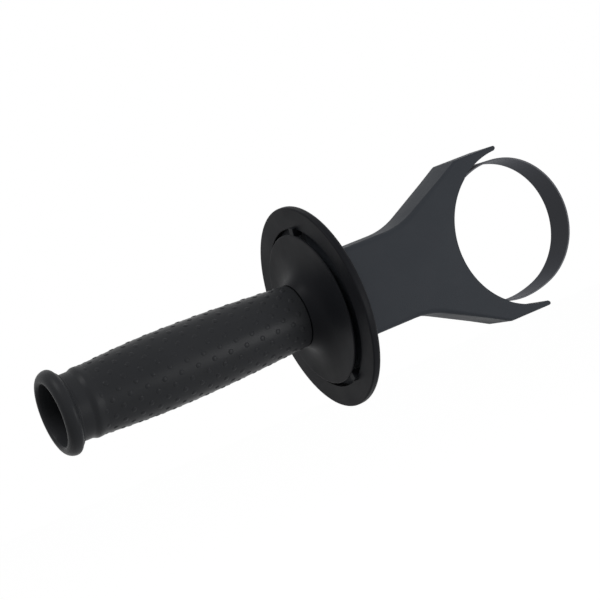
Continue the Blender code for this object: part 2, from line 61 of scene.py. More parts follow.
NEAR = 1e-6
HEX_SIDES = 6
# The number of chords in the round of a fine edge, of a common edge and of a wide one.
EDGE_CHORDS = 3
ROUND_CHORDS = 8
WIDE_CHORDS = 10
Point = tuple[float, float]
Place = tuple[float, float, float]
Colour = tuple[float, float, float]
Object = bpy.types.Object
Material = bpy.types.Material
Node = bpy.types.Node
Socket = bpy.types.NodeSocket
Tree = bpy.types.NodeTree


class Body(Enum):
    """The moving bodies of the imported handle."""

    CLAMP = "clamp"
    STRAP = "strap"
    GRIP = "grip"


class Slot(Enum):
    """The record's material slots."""

    FORK = "moulded_body"
    CORE = "moulded_core"
    SLEEVE = "soft_grip"
    STRAP = "strap_steel"
    ZINC = "zinc_steel"


class Cut(Enum):
    """The ways in which one solid is worked on another."""

    AWAY = "DIFFERENCE"
    JOINED = "UNION"
    SHARED = "INTERSECT"


def arc(centre: Point, radius: float, start: float, end: float, steps: int) -> list[Point]:
    """List points of an arc.

    Args:
        centre: The arc's centre.
        radius: The arc's radius.
        start: The first angle in degrees, from the first axis towards the second.
        end: The last angle in degrees.
        steps: The number of chords.

    Returns:
        The points from start to end, both included.
    """
    angles = [math.radians(start + (end - start) * i / steps) for i in range(steps + 1)]
    return [(centre[0] + radius * math.cos(a), centre[1] + radius * math.sin(a)) for a in angles]


def inset_ways(points: Sequence[Point]) -> list[Vector]:
    """Give the inward mitre at each point of a line that runs clockwise, its ends joined straight.

    Args:
        points: The line's points.

    Returns:
        For each point the way that it moves as the line is inset by one unit.
    """
    runs = [(Vector(b) - Vector(a)).normalized() for a, b in zip(points, points[1:])]
    normals = [Vector((run.y, -run.x)) for run in runs]
    pairs = zip(normals[:1] + normals, normals + normals[-1:])
    return [(a + b) / (1.0 + a.dot(b)) for a, b in pairs]


class Bench:
    """Works Blender's modelling operators on one piece at a time."""

    @staticmethod
    def clear() -> None:
        """Leave edit mode and deselect every object."""
        if bpy.context.object and bpy.context.object.mode != "OBJECT":
            bpy.ops.object.mode_set(mode="OBJECT")
        bpy.ops.object.select_all(action="DESELECT")

    @staticmethod
    def pick(*pieces: Object) -> None:
        """Select these pieces alone, the first one active.

        Args:
            pieces: The pieces.
        """
        Bench.clear()
        for piece in pieces:
            piece.select_set(True)
        bpy.context.view_layer.objects.active = pieces[0]

    @staticmethod
    def added(name: str) -> Object:
        """Name the piece that an operator has just added.

        Args:
            name: The new piece's name.

        Returns:
            The piece.
        """
        piece = bpy.context.object
        piece.name = piece.data.name = name
        return piece

    @staticmethod
    def edit(piece: Object) -> None:
        """Enter edit mode on a piece, with all of it selected.

        Args:
            piece: The piece.
        """
        Bench.pick(piece)
        bpy.ops.object.mode_set(mode="EDIT")
        bpy.ops.mesh.select_mode(type="VERT")
        bpy.ops.mesh.select_all(action="SELECT")

    @staticmethod
    def modify(piece: Object, kind: str, **settings: object) -> None:
        """Add a modifier to a piece and apply it.

        Args:
            piece: The piece.
            kind: The modifier's type.
            settings: The modifier's own properties.
        """
        Bench.pick(piece)
        bpy.ops.object.modifier_add(type=kind)
        modifier = piece.modifiers[-1]
        for name, value in settings.items():
            setattr(modifier, name, value)
        bpy.ops.object.modifier_apply(modifier=modifier.name)

    @staticmethod
    def choose(piece: Object, wanted: Callable[[bmesh.types.BMVert], bool]) -> None:
        """Select the vertices that a test takes, in edit mode.

        Args:
            piece: The piece in edit mode.
            wanted: The test of a vertex.
        """
        bm = bmesh.from_edit_mesh(piece.data)
        for vert in bm.verts:
            vert.select = wanted(vert)
        bm.select_flush_mode()
        bmesh.update_edit_mesh(piece.data)

    @staticmethod
    def line(name: str, points: Sequence[Vector], closed: bool = True) -> Object:
        """Draw a line by extruding one vertex from point to point.

        Args:
            name: The new piece's name.
            points: The line's points.
            closed: Whether an edge joins the last point to the first.

        Returns:
            The piece, in edit mode.
        """
        Bench.clear()
        bpy.ops.mesh.primitive_plane_add(size=MM)
        piece = Bench.added(name)
        Bench.edit(piece)
        bpy.ops.mesh.merge(type="CENTER")
        bpy.ops.transform.translate(value=points[0])
        for before, after in zip(points, points[1:]):
            bpy.ops.mesh.extrude_vertices_move(TRANSFORM_OT_translate={"value": after - before})
        if closed:
            first, last = Vector(points[0]), Vector(points[-1])
            Bench.choose(piece, lambda vert: min((vert.co - first).length, (vert.co - last).length) < NEAR)
            bpy.ops.mesh.edge_face_add()
        return piece

    @staticmethod
    def lathe(name: str, profile: Sequence[Point], steps: int) -> Object:
        """Spin a closed profile about the handle's axis.

        Args:
            name: The new piece's name.
            profile: The profile's points as (x, radius).
            steps: The number of steps in the turn.

        Returns:
            The turned piece, in object mode.
        """
        piece = Bench.line(name, [Vector((x, 0.0, radius)) for x, radius in profile])
        bpy.ops.mesh.select_all(action="SELECT")
        bpy.ops.mesh.spin(steps=steps, angle=math.tau, center=(0.0, 0.0, 0.0), axis=(1.0, 0.0, 0.0))
        Bench.tidy(piece)
        return piece

    @staticmethod
    def tidy(piece: Object, reach: float = NEAR) -> None:
        """Merge doubles, drop dead faces and point the rest outwards, then leave edit mode.

        Args:
            piece: The piece.
            reach: How near to each other doubles lie.
        """
        Bench.edit(piece)
        bpy.ops.mesh.remove_doubles(threshold=reach)
        bpy.ops.mesh.dissolve_degenerate(threshold=reach)
        bpy.ops.mesh.select_all(action="SELECT")
        bpy.ops.mesh.normals_make_consistent(inside=False)
        Bench.clear()

    @staticmethod
    def block(name: str, low: Sequence[float], high: Sequence[float], bevel: float = 0.0) -> Object:
        """Add a cuboid between two corners, its edges bevelled.

        Args:
            name: The new piece's name.
            low: The lowest corner.
            high: The highest corner.
            bevel: The bevel's width, or 0 for none.

        Returns:
            The cuboid, in object mode.
        """
        Bench.clear()
        middle, size = (Vector(low) + Vector(high)) / 2, Vector(high) - Vector(low)
        bpy.ops.mesh.primitive_cube_add(size=1.0, location=middle, scale=size)
        piece = Bench.added(name)
        bpy.ops.object.transform_apply()
        if bevel:
            Bench.edit(piece)
            bpy.ops.mesh.bevel(offset=bevel, segments=3, affect="EDGES")
        Bench.clear()
        return piece

    @staticmethod
    def prism(name: str, outline: Sequence[Point], half: float) -> Object:
        """Extrude a closed outline of (x, z) points along Y, half to each side.

        Args:
            name: The new piece's name.
            outline: The outline's points.
            half: Half of the prism's thickness.

        Returns:
            The prism, in object mode.
        """
        piece = Bench.line(name, [Vector((x, -half, z)) for x, z in outline])
        bpy.ops.mesh.select_all(action="SELECT")
        bpy.ops.mesh.edge_face_add()
        bpy.ops.mesh.extrude_region_move(TRANSFORM_OT_translate={"value": (0.0, 2 * half, 0.0)})
        Bench.tidy(piece)
        return piece

    @staticmethod
    def rod(name: str, radius: float, start: float, end: float, steps: int) -> Object:
        """Add a cylinder along the handle's axis that only cuts or joins another piece.

        Args:
            name: The new piece's name.
            radius: The cylinder's radius.
            start: Its lower end on X.
            end: Its upper end on X.
            steps: The number of its sides.

        Returns:
            The cylinder, in object mode.
        """
        Bench.clear()
        bpy.ops.mesh.primitive_cylinder_add(vertices=steps, radius=radius, depth=end - start,
                                            location=((start + end) / 2, 0.0, 0.0),
                                            rotation=(0.0, math.pi / 2, 0.0))
        piece = Bench.added(name)
        bpy.ops.object.transform_apply()
        Bench.clear()
        return piece

    @staticmethod
    def work(piece: Object, tool: Object, cut: Cut) -> None:
        """Cut a tool from a piece or join it on, and remove the tool.

        Args:
            piece: The piece that is worked on.
            tool: The solid that works on it.
            cut: How the two are combined.
        """
        Bench.modify(piece, "BOOLEAN", operation=cut.value, solver="EXACT", object=tool)
        mesh = tool.data
        bpy.data.objects.remove(tool)
        bpy.data.meshes.remove(mesh)

    @staticmethod
    def join(*pieces: Object) -> None:
        """Join pieces into the first one."""
        Bench.pick(*pieces)
        bpy.ops.object.join()

    @staticmethod
    def smooth(piece: Object, degrees: float = 35.0) -> None:
        """Shade a piece smooth but for its sharp edges, with its large faces kept flat.

        Args:
            piece: The piece.
            degrees: The angle from which an edge stays sharp.
        """
        Bench.pick(piece)
        bpy.ops.object.shade_smooth_by_angle(angle=math.radians(degrees))
        Bench.modify(piece, "WEIGHTED_NORMAL", keep_sharp=True)
        Bench.clear()

    @staticmethod
    def settle(piece: Object, body: Body, slot: Slot, finish: Material, node: str) -> None:
        """Dress a piece, make it ride on its body and let it stand for its CAD node.

        Args:
            piece: The finished piece.
            body: The body that it moves with.
            slot: Not used; it names the record's slot of its finish.
            finish: Its material.
            node: The CAD node that it stands for.
        """
        piece.data.materials.clear()
        piece.data.materials.append(finish)
        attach(piece, body.value)
        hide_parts(node)
        LOG.info("%s: %d faces, rides on %s", piece.name, len(piece.data.polygons), body.value)


class Board:
    """Lays out the nodes of one material or group."""

    def __init__(self, tree: Tree) -> None:
        """Take the tree that the nodes go into."""
        self.tree = tree

    def add(self, kind: str, inputs: dict[str | int, object] | None = None, **settings: object) -> Node:
        """Add a node, set its values and link its inputs.

        Args:
            kind: The node's type.
            inputs: For each input a value, or an output socket that is linked to it.
            settings: The node's own properties.

        Returns:
            The node.
        """
        node = self.tree.nodes.new(kind)
        for name, value in settings.items():
            setattr(node, name, value)
        for key, value in (inputs or {}).items():
            if isinstance(value, Socket):
                self.tree.links.new(value, node.inputs[key])
            else:
                node.inputs[key].default_value = value
        return node

    def noise(self, place: Socket, scale: object, detail: float, roughness: float) -> Socket:
        """Add a noise texture and give its value.

        Args:
            place: The coordinates that it reads.
            scale: Its scale, a number or a socket.
            detail: Its number of octaves.
            roughness: How strong the finer octaves are.

        Returns:
            The texture's value.
        """
        node = self.add("ShaderNodeTexNoise",
                        {"Vector": place, "Scale": scale, "Detail": detail, "Roughness": roughness})
        return node.outputs[0]

    def math(self, operation: str, first: object, second: object = 0.0) -> Socket:
        """Add a math node and give its value."""
        return self.add("ShaderNodeMath", {0: first, 1: second}, operation=operation).outputs[0]

    def spread(self, value: object, low: float, high: float, to_low: float, to_high: float) -> Socket:
        """Map a value from one range to another, held at its ends."""
        return self.add("ShaderNodeMapRange", {"Value": value, "From Min": low, "From Max": high,
                                               "To Min": to_low, "To Max": to_high}).outputs[0]

    def blend(self, share: Socket, first: Colour, second: Colour) -> Socket:
        """Mix two colours by a share and give the mix."""
        return self.add("ShaderNodeMix", {0: share, 6: (*first, 1.0), 7: (*second, 1.0)},
                        data_type="RGBA").outputs[2]

    def seen(self, operation: str) -> Socket:
        """Tell the rays that show a thing, direct or in a gloss, from those that only light.

        Args:
            operation: The math that puts the kinds of rays together.

        Returns:
            More than 0 for a ray from the camera, off a gloss or through a clear piece.
        """
        path = self.add("ShaderNodeLightPath").outputs
        mirrored = self.math(operation, path["Is Glossy Ray"], path["Is Transmission Ray"])
        return self.math(operation, path["Is Camera Ray"], mirrored)


class Effects:
    """Holds the shader node groups that several finishes share."""

    def __init__(self) -> None:
        """Build both groups once."""
        self.grain = self._grain()
        self.drawn = self._drawn()

    @staticmethod
    def _group(name: str, inputs: dict[str, float], outputs: Sequence[str]) -> Tree:
        """Make an empty group with named float sockets.

        Args:
            name: The group's name.
            inputs: Each float input with its default value.
            outputs: The names of the float outputs.

        Returns:
            The group's tree.
        """
        tree = bpy.data.node_groups.new(name, "ShaderNodeTree")
        tree.interface.new_socket("Place", in_out="INPUT", socket_type="NodeSocketVector")
        for label, value in inputs.items():
            socket = tree.interface.new_socket(label, in_out="INPUT", socket_type="NodeSocketFloat")
            socket.default_value = value
        for label in outputs:
            tree.interface.new_socket(label, in_out="OUTPUT", socket_type="NodeSocketFloat")
        return tree

    def _grain(self) -> Tree:
        """Build the fine pitted grain of a spark-eroded mould, with broad patches of uneven gloss.

        Returns:
            A group with a Height and a Patch mask.
        """
        tree = self._group("mould_grain", {"Grains": 2600.0, "Patches": 38.0}, ("Height", "Patch"))
        board = Board(tree)
        given = board.add("NodeGroupInput").outputs
        fine = board.noise(given["Place"], given["Grains"], detail=2.0, roughness=0.6)
        pit_scale = board.math("MULTIPLY", given["Grains"], 0.55)
        cells = board.add("ShaderNodeTexVoronoi", {"Vector": given["Place"], "Scale": pit_scale})
        pits = board.spread(cells.outputs[0], 0.05, 0.75, 0.0, 1.0)
        height = board.math("MULTIPLY", board.math("ADD", fine, pits), 0.5)
        cloud = board.noise(given["Place"], given["Patches"], detail=4.0, roughness=0.6)
        patch = board.spread(cloud, 0.3, 0.7, 0.0, 1.0)
        board.add("NodeGroupOutput", {"Height": height, "Patch": patch})
        return tree

    def _drawn(self) -> Tree:
        """Build the fine lines that rolling and drawing leave on steel, with dull stains between them.

        Returns:
            A group with a Height, a Line mask and a Stain mask.
        """
        tree = self._group("drawn_lines", {"Lines": 5200.0, "Length": 0.03, "Stains": 60.0},
                           ("Height", "Line", "Stain"))
        board = Board(tree)
        given = board.add("NodeGroupInput").outputs
        stretch = board.add("ShaderNodeCombineXYZ", {0: given["Length"], 1: 1.0, 2: 1.0}).outputs[0]
        place = board.add("ShaderNodeVectorMath", {0: given["Place"], 1: stretch}, operation="MULTIPLY")
        lines = board.noise(place.outputs[0], given["Lines"], detail=2.0, roughness=0.7)
        cloud = board.noise(given["Place"], given["Stains"], detail=5.0, roughness=0.62)
        stain = board.spread(cloud, 0.35, 0.7, 0.0, 1.0)
        line = board.spread(lines, 0.35, 0.65, 0.0, 1.0)
        board.add("NodeGroupOutput", {"Height": lines, "Line": line, "Stain": stain})
        return tree


@dataclass(frozen=True)
class Finish:
    """What every finish has: two colours that a mask blends, a roughness and a fine relief."""

    name: str
    colour: Colour
    second_colour: Colour
    roughness: float

    def begin(self, source: str, effect: Tree,
              values: dict[str, float]) -> tuple[Material, Board, dict[str, Socket]]:
        """Make the material and place the shared effect in it.

        Args:
            source: The coordinates that the effect reads.
            effect: The effect's node group.
            values: The group's inputs.

        Returns:
            The material, its board and the group's outputs by name.
        """
        material = bpy.data.materials.new(self.name)
        material.use_nodes = True
        board = Board(material.node_tree)
        place = board.add("ShaderNodeTexCoord").outputs[source]
        group = board.add("ShaderNodeGroup", {"Place": place, **values}, node_tree=effect)
        return material, board, {socket.name: socket for socket in group.outputs}

    def shade(self, board: Board, share: Socket, rough: Socket, bump: Node) -> Node:
        """Link the blended colour, the roughness and the relief to the shader.

        Args:
            board: The material's board.
            share: The second colour's share.
            rough: The roughness.
            bump: The node of the relief.

        Returns:
            The shader.
        """
        shader = board.tree.nodes["Principled BSDF"]
        colour = board.blend(share, self.colour, self.second_colour)
        for socket, label in ((colour, "Base Color"), (rough, "Roughness"), (bump.outputs[0], "Normal")):
            board.tree.links.new(socket, shader.inputs[label])
        return shader


@dataclass(frozen=True)
class MouldedFinish(Finish):
    """A moulded plastic or elastomer with a fine grain."""

    gloss: float
    grains: float = 2600.0
    grain_depth: float = 0.04 * MM
    patches: float = 38.0
    patch_share: float = 0.5
    swing: float = 0.08

    def build(self, effects: Effects) -> Material:
        """Make the material.

        Args:
            effects: The shared node groups.

        Returns:
            The material.
        """
        values = {"Grains": self.grains, "Patches": self.patches}
        material, board, grain = self.begin("Object", effects.grain, values)
        share = board.math("MULTIPLY", grain["Patch"], self.patch_share)
        low, high = self.roughness - self.swing, self.roughness + self.swing
        rough = board.spread(grain["Patch"], 0.0, 1.0, low, high)
        bump = board.add("ShaderNodeBump",
                         {"Height": grain["Height"], "Strength": 1.0, "Distance": self.grain_depth})
        shader = self.shade(board, share, rough, bump)
        shader.inputs["Specular IOR Level"].default_value = self.gloss
        return material


@dataclass(frozen=True)
class SteelFinish(Finish):
    """A rolled or drawn steel, blackened or plated."""

    lines: float = 5200.0
    line_length: float = 0.03
    line_depth: float = 0.01 * MM
    relief: float = 0.6
    swing: float = 0.05
    stains: float = 60.0
    stain_share: float = 0.6
    stain_dullness: float = 0.08
    along_uv: bool = False
    edge_colour: Colour = (1.0, 1.0, 1.0)

    def build(self, effects: Effects) -> Material:
        """Make the material.

        Args:
            effects: The shared node groups.

        Returns:
            The material.
        """
        values = {"Lines": self.lines, "Length": self.line_length, "Stains": self.stains}
        material, board, drawn = self.begin("UV" if self.along_uv else "Object", effects.drawn, values)
        share = board.math("MULTIPLY", drawn["Stain"], self.stain_share)
        low, high = self.roughness - self.swing, self.roughness + self.swing
        rough = board.math("ADD", board.spread(drawn["Line"], 0.0, 1.0, low, high),
                           board.math("MULTIPLY", drawn["Stain"], self.stain_dullness))
        bump = board.add("ShaderNodeBump",
                         {"Height": drawn["Height"], "Strength": self.relief, "Distance": self.line_depth})
        shader = self.shade(board, share, rough, bump)
        shader.inputs["Metallic"].default_value = 1.0
        shader.inputs["Specular Tint"].default_value = (*self.edge_colour, 1.0)
        return material


@dataclass(frozen=True)
class Palette:
    """The finishes of the handle's pieces."""

    fork: MouldedFinish = MouldedFinish(
        "fork_nylon", (0.029, 0.0325, 0.0385), (0.034, 0.038, 0.044), 0.55, 0.06)
    guard: MouldedFinish = MouldedFinish(
        "guard_nylon", (0.0085, 0.009, 0.0107), (0.0105, 0.011, 0.0128), 0.46, 0.04,
        grains=3400.0, grain_depth=0.02 * MM)
    sleeve: MouldedFinish = MouldedFinish(
        "sleeve_elastomer", (0.0205, 0.0215, 0.0235), (0.0245, 0.0255, 0.0275), 0.36, 0.055,
        grains=4200.0, grain_depth=0.02 * MM)
    strap: SteelFinish = SteelFinish(
        "blackened_spring_steel", (0.036, 0.037, 0.04), (0.026, 0.027, 0.03), 0.4,
        along_uv=True, edge_colour=(0.62, 0.63, 0.66))
    zinc: SteelFinish = SteelFinish(
        "bright_zinc", (0.56, 0.56, 0.55), (0.42, 0.43, 0.41), 0.3, line_length=1.0, lines=1400.0)


@dataclass
class Fork:
    """The moulded clamp body: neck, flared cheeks, horns, saddle and the flange that ends the neck."""

    thickness: float = 23.0 * MM
    side_wall: float = 3.0 * MM
    neck_half: float = 21.3 * MM
    neck_end: float = -105.4 * MM
    flange_radius: float = 39.2 * MM
    flange_thickness: float = 2.4 * MM
    flange_edge: float = 0.5 * MM
    flange_steps: int = 144
    flank_foot: float = -57.8 * MM
    flank_arc: float = 38.0 * MM
    shoulder: float = -19.0 * MM
    shoulder_round: float = 2.0 * MM
    saddle_centre: float = 4.7 * MM
    saddle_radius: float = 37.9 * MM
    saddle_step: float = 0.3 * MM
    horn_wall: float = 2.2 * MM
    horn_tip: float = 3.7 * MM
    tip_round: float = 1.0 * MM
    land_share: float = 0.808
    neck_edge: float = 2.7 * MM
    fork_edge: float = 1.2 * MM
    saddle_edge: float = 0.3 * MM
    edge_steps: int = 6
    flank_runs: int = 6
    shoulder_steps: int = 6
    flank_steps: int = 18
    horn_steps: int = 24
    saddle_steps: int = 36
    tip_turn: float = -75.0
    sharp_angle: float = 32.0
    chamber_half: float = 11.5 * MM
    chamber_front: float = -43.2 * MM
    chamber_back: float = -60.35 * MM
    web_half: float = 15.0 * MM
    mouth_rise: float = 2.2 * MM
    bore_radius: float = 4.3 * MM
    bore_sides: int = 48
    seat_radius: float = 10.9 * MM
    seat_depth: float = 7.1 * MM
    seat_sides: int = 64

    @property
    def half(self) -> float:
        """Half of the fork's spread over its horns."""
        return self.saddle_radius + self.saddle_step + self.horn_wall

    @property
    def land(self) -> float:
        """The height at which the saddle ends and the strap leaves the body."""
        return self.saddle_radius * self.land_share

    @property
    def slope(self) -> float:
        """The angle of the flank to the handle's axis, in degrees."""
        return math.degrees(math.atan2(self.half - self.neck_half, self.shoulder - self.flank_foot))

    def saddle_x(self, height: float) -> float:
        """Give where the saddle lies at a height off the axis."""
        return self.saddle_centre - math.sqrt(self.saddle_radius ** 2 - height ** 2)

    def upper_outline(self) -> list[Point]:
        """List the outline from inside the flange over the upper horn to the saddle's middle.

        Returns:
            The points as (x, z), clockwise.
        """
        lean = math.radians(self.slope)
        reach = self.flank_arc * math.tan(lean / 2)
        points = [(self.neck_end + self.flange_thickness / 2, self.neck_half)]
        points += arc((self.flank_foot - reach, self.neck_half + self.flank_arc), self.flank_arc,
                      -90.0, -90.0 + self.slope, self.flank_steps)
        runs = [self.flank_arc * i / self.flank_runs for i in range(1, self.flank_runs)]
        points += [(self.flank_foot + run * math.cos(lean), self.neck_half + run * math.sin(lean))
                   for run in runs if run > reach + MM]
        points += arc((self.shoulder, self.half - self.shoulder_round), self.shoulder_round,
                      90.0 + self.slope, 90.0, self.shoulder_steps)
        points += arc((self.horn_tip - self.tip_round, self.half - self.tip_round), self.tip_round,
                      90.0, self.tip_turn, WIDE_CHORDS)
        horn_radius = self.saddle_radius + self.saddle_step
        tip_start = self.horn_tip - self.tip_round - self.saddle_centre
        tip_angle = math.degrees(math.acos(tip_start / horn_radius))
        root_angle = 180.0 - math.degrees(math.asin((self.land + self.saddle_step) / horn_radius))
        points += arc((self.saddle_centre, 0.0), horn_radius, tip_angle, root_angle, self.horn_steps)
        land_angle = 180.0 - math.degrees(math.asin(self.land_share))
        points += arc((self.saddle_centre, 0.0), self.saddle_radius, land_angle, 180.0, self.saddle_steps)
        return points

    def edge_round(self, x: float, z: float) -> float:
        """Give how widely the face edges are rounded at a point of the outline.

        Args:
            x: The point's place along the handle.
            z: Its height off the handle's axis.

        Returns:
            The width of the round.
        """
        if math.hypot(x - self.saddle_centre, z) < self.saddle_radius + self.saddle_step + GAP:
            return self.saddle_edge
        if x > self.horn_tip - self.tip_round - GAP:
            return self.tip_round / 2
        share = min(max((x - self.flank_foot) / (self.shoulder - self.flank_foot), 0.0), 1.0)
        return self.neck_edge + (self.fork_edge - self.neck_edge) * share

    def rings(self) -> list[list[Vector]]:
        """List the outline at each level of the fork's thickness, from its near to its far face.

        Returns:
            For each level its points, in the outline's order.
        """
        upper = self.upper_outline()
        outline = upper + [(x, -z) for x, z in reversed(upper[:-1])]
        rounds = [self.edge_round(x, z) for x, z in outline]
        inward = inset_ways(outline)
        turns = [math.pi / 2 * i / self.edge_steps for i in range(self.edge_steps + 1)]
        rings = []
        for side, angles in ((-1, list(reversed(turns))), (1, turns)):
            for angle in angles:
                ring = []
                for point, way, width in zip(outline, inward, rounds):
                    x, z = Vector(point) + way * width * (1 - math.cos(angle))
                    ring.append(Vector((x, side * (self.thickness / 2 - width * (1 - math.sin(angle))), z)))
                rings.append(ring)
        return rings

    def blank(self) -> Object:
        """Draw the near face, extrude it level by level and shrink each level to its rounded outline.

        Returns:
            The solid fork, before anything is cut from it.
        """
        rings = self.rings()
        piece = Bench.line("fork_body", rings[0])
        bm = bmesh.from_edit_mesh(piece.data)
        layer = bm.verts.layers.int.new("outline_point")
        for vert in bm.verts:
            vert[layer] = min(range(len(rings[0])), key=lambda i: (rings[0][i] - vert.co).length_squared)
        bmesh.update_edit_mesh(piece.data)
        bpy.ops.mesh.select_all(action="SELECT")
        bpy.ops.mesh.edge_face_add()
        for ring in rings[1:]:
            bpy.ops.mesh.extrude_region_move(TRANSFORM_OT_translate={"value": (0.0, GAP, 0.0)})
            bm = bmesh.from_edit_mesh(piece.data)
            layer = bm.verts.layers.int["outline_point"]
            for vert in bm.verts:
                if vert.select:
                    vert.co = ring[vert[layer]]
            bmesh.update_edit_mesh(piece.data)
        Bench.tidy(piece)
        return piece

    def pocket(self, strap: Strap) -> Object:
        """Model the room that the strap's legs and the bolt's head need, open to the saddle beside a web.

        Args:
            strap: The strap that the pocket takes.

        Returns:
            The solid that is cut away.
        """
        top = self.land + self.saddle_step + self.mouth_rise
        reach = strap.draw + GAP + (strap.thickness / 2 + GAP) / strap.leg_way[1]
        knee = strap.knee(strap.lower_tab)[0] - reach + (top - strap.mouth_height) * strap.lean
        foot = knee - (top - self.chamber_half) * strap.lean
        room = 2 * strap.thickness
        upper = [(self.chamber_front, self.web_half / 2),
                 (self.saddle_x(self.web_half) + room, self.web_half),
                 (self.saddle_x(self.land) + room + strap.draw, top), (knee, top),
                 (foot, self.chamber_half), (self.chamber_back, self.chamber_half)]
        outline = upper + [(x, -z) for x, z in reversed(upper)]
        return Bench.prism("pocket", outline, self.thickness / 2 - self.side_wall)

    def build(self, strap: Strap, finish: Material) -> None:
        """Model the clamp body and dress it.

        Args:
            strap: The strap that runs through it.
            finish: Its moulded finish.
        """
        piece = self.blank()
        start, edge = self.neck_end, self.flange_edge
        stop, rim = start + self.flange_thickness, self.flange_radius - edge
        profile = [(start, self.seat_radius), (start, rim),
                   *arc((start + edge, rim), edge, 180.0, 90.0, EDGE_CHORDS),
                   *arc((stop - edge, rim), edge, 90.0, 0.0, EDGE_CHORDS), (stop, self.seat_radius)]
        Bench.work(piece, Bench.lathe("flange", profile, self.flange_steps), Cut.JOINED)
        Bench.work(piece, self.pocket(strap), Cut.AWAY)
        bore_end, seat_end = self.chamber_back + MM, start + self.seat_depth
        for name, radius, end, sides in (("bore", self.bore_radius, bore_end, self.bore_sides),
                                         ("seat", self.seat_radius, seat_end, self.seat_sides)):
            Bench.work(piece, Bench.rod(name, radius, start - MM, end, sides), Cut.AWAY)
        Bench.smooth(piece, self.sharp_angle)
        Bench.settle(piece, Body.CLAMP, Slot.FORK, finish, "clamp_body")


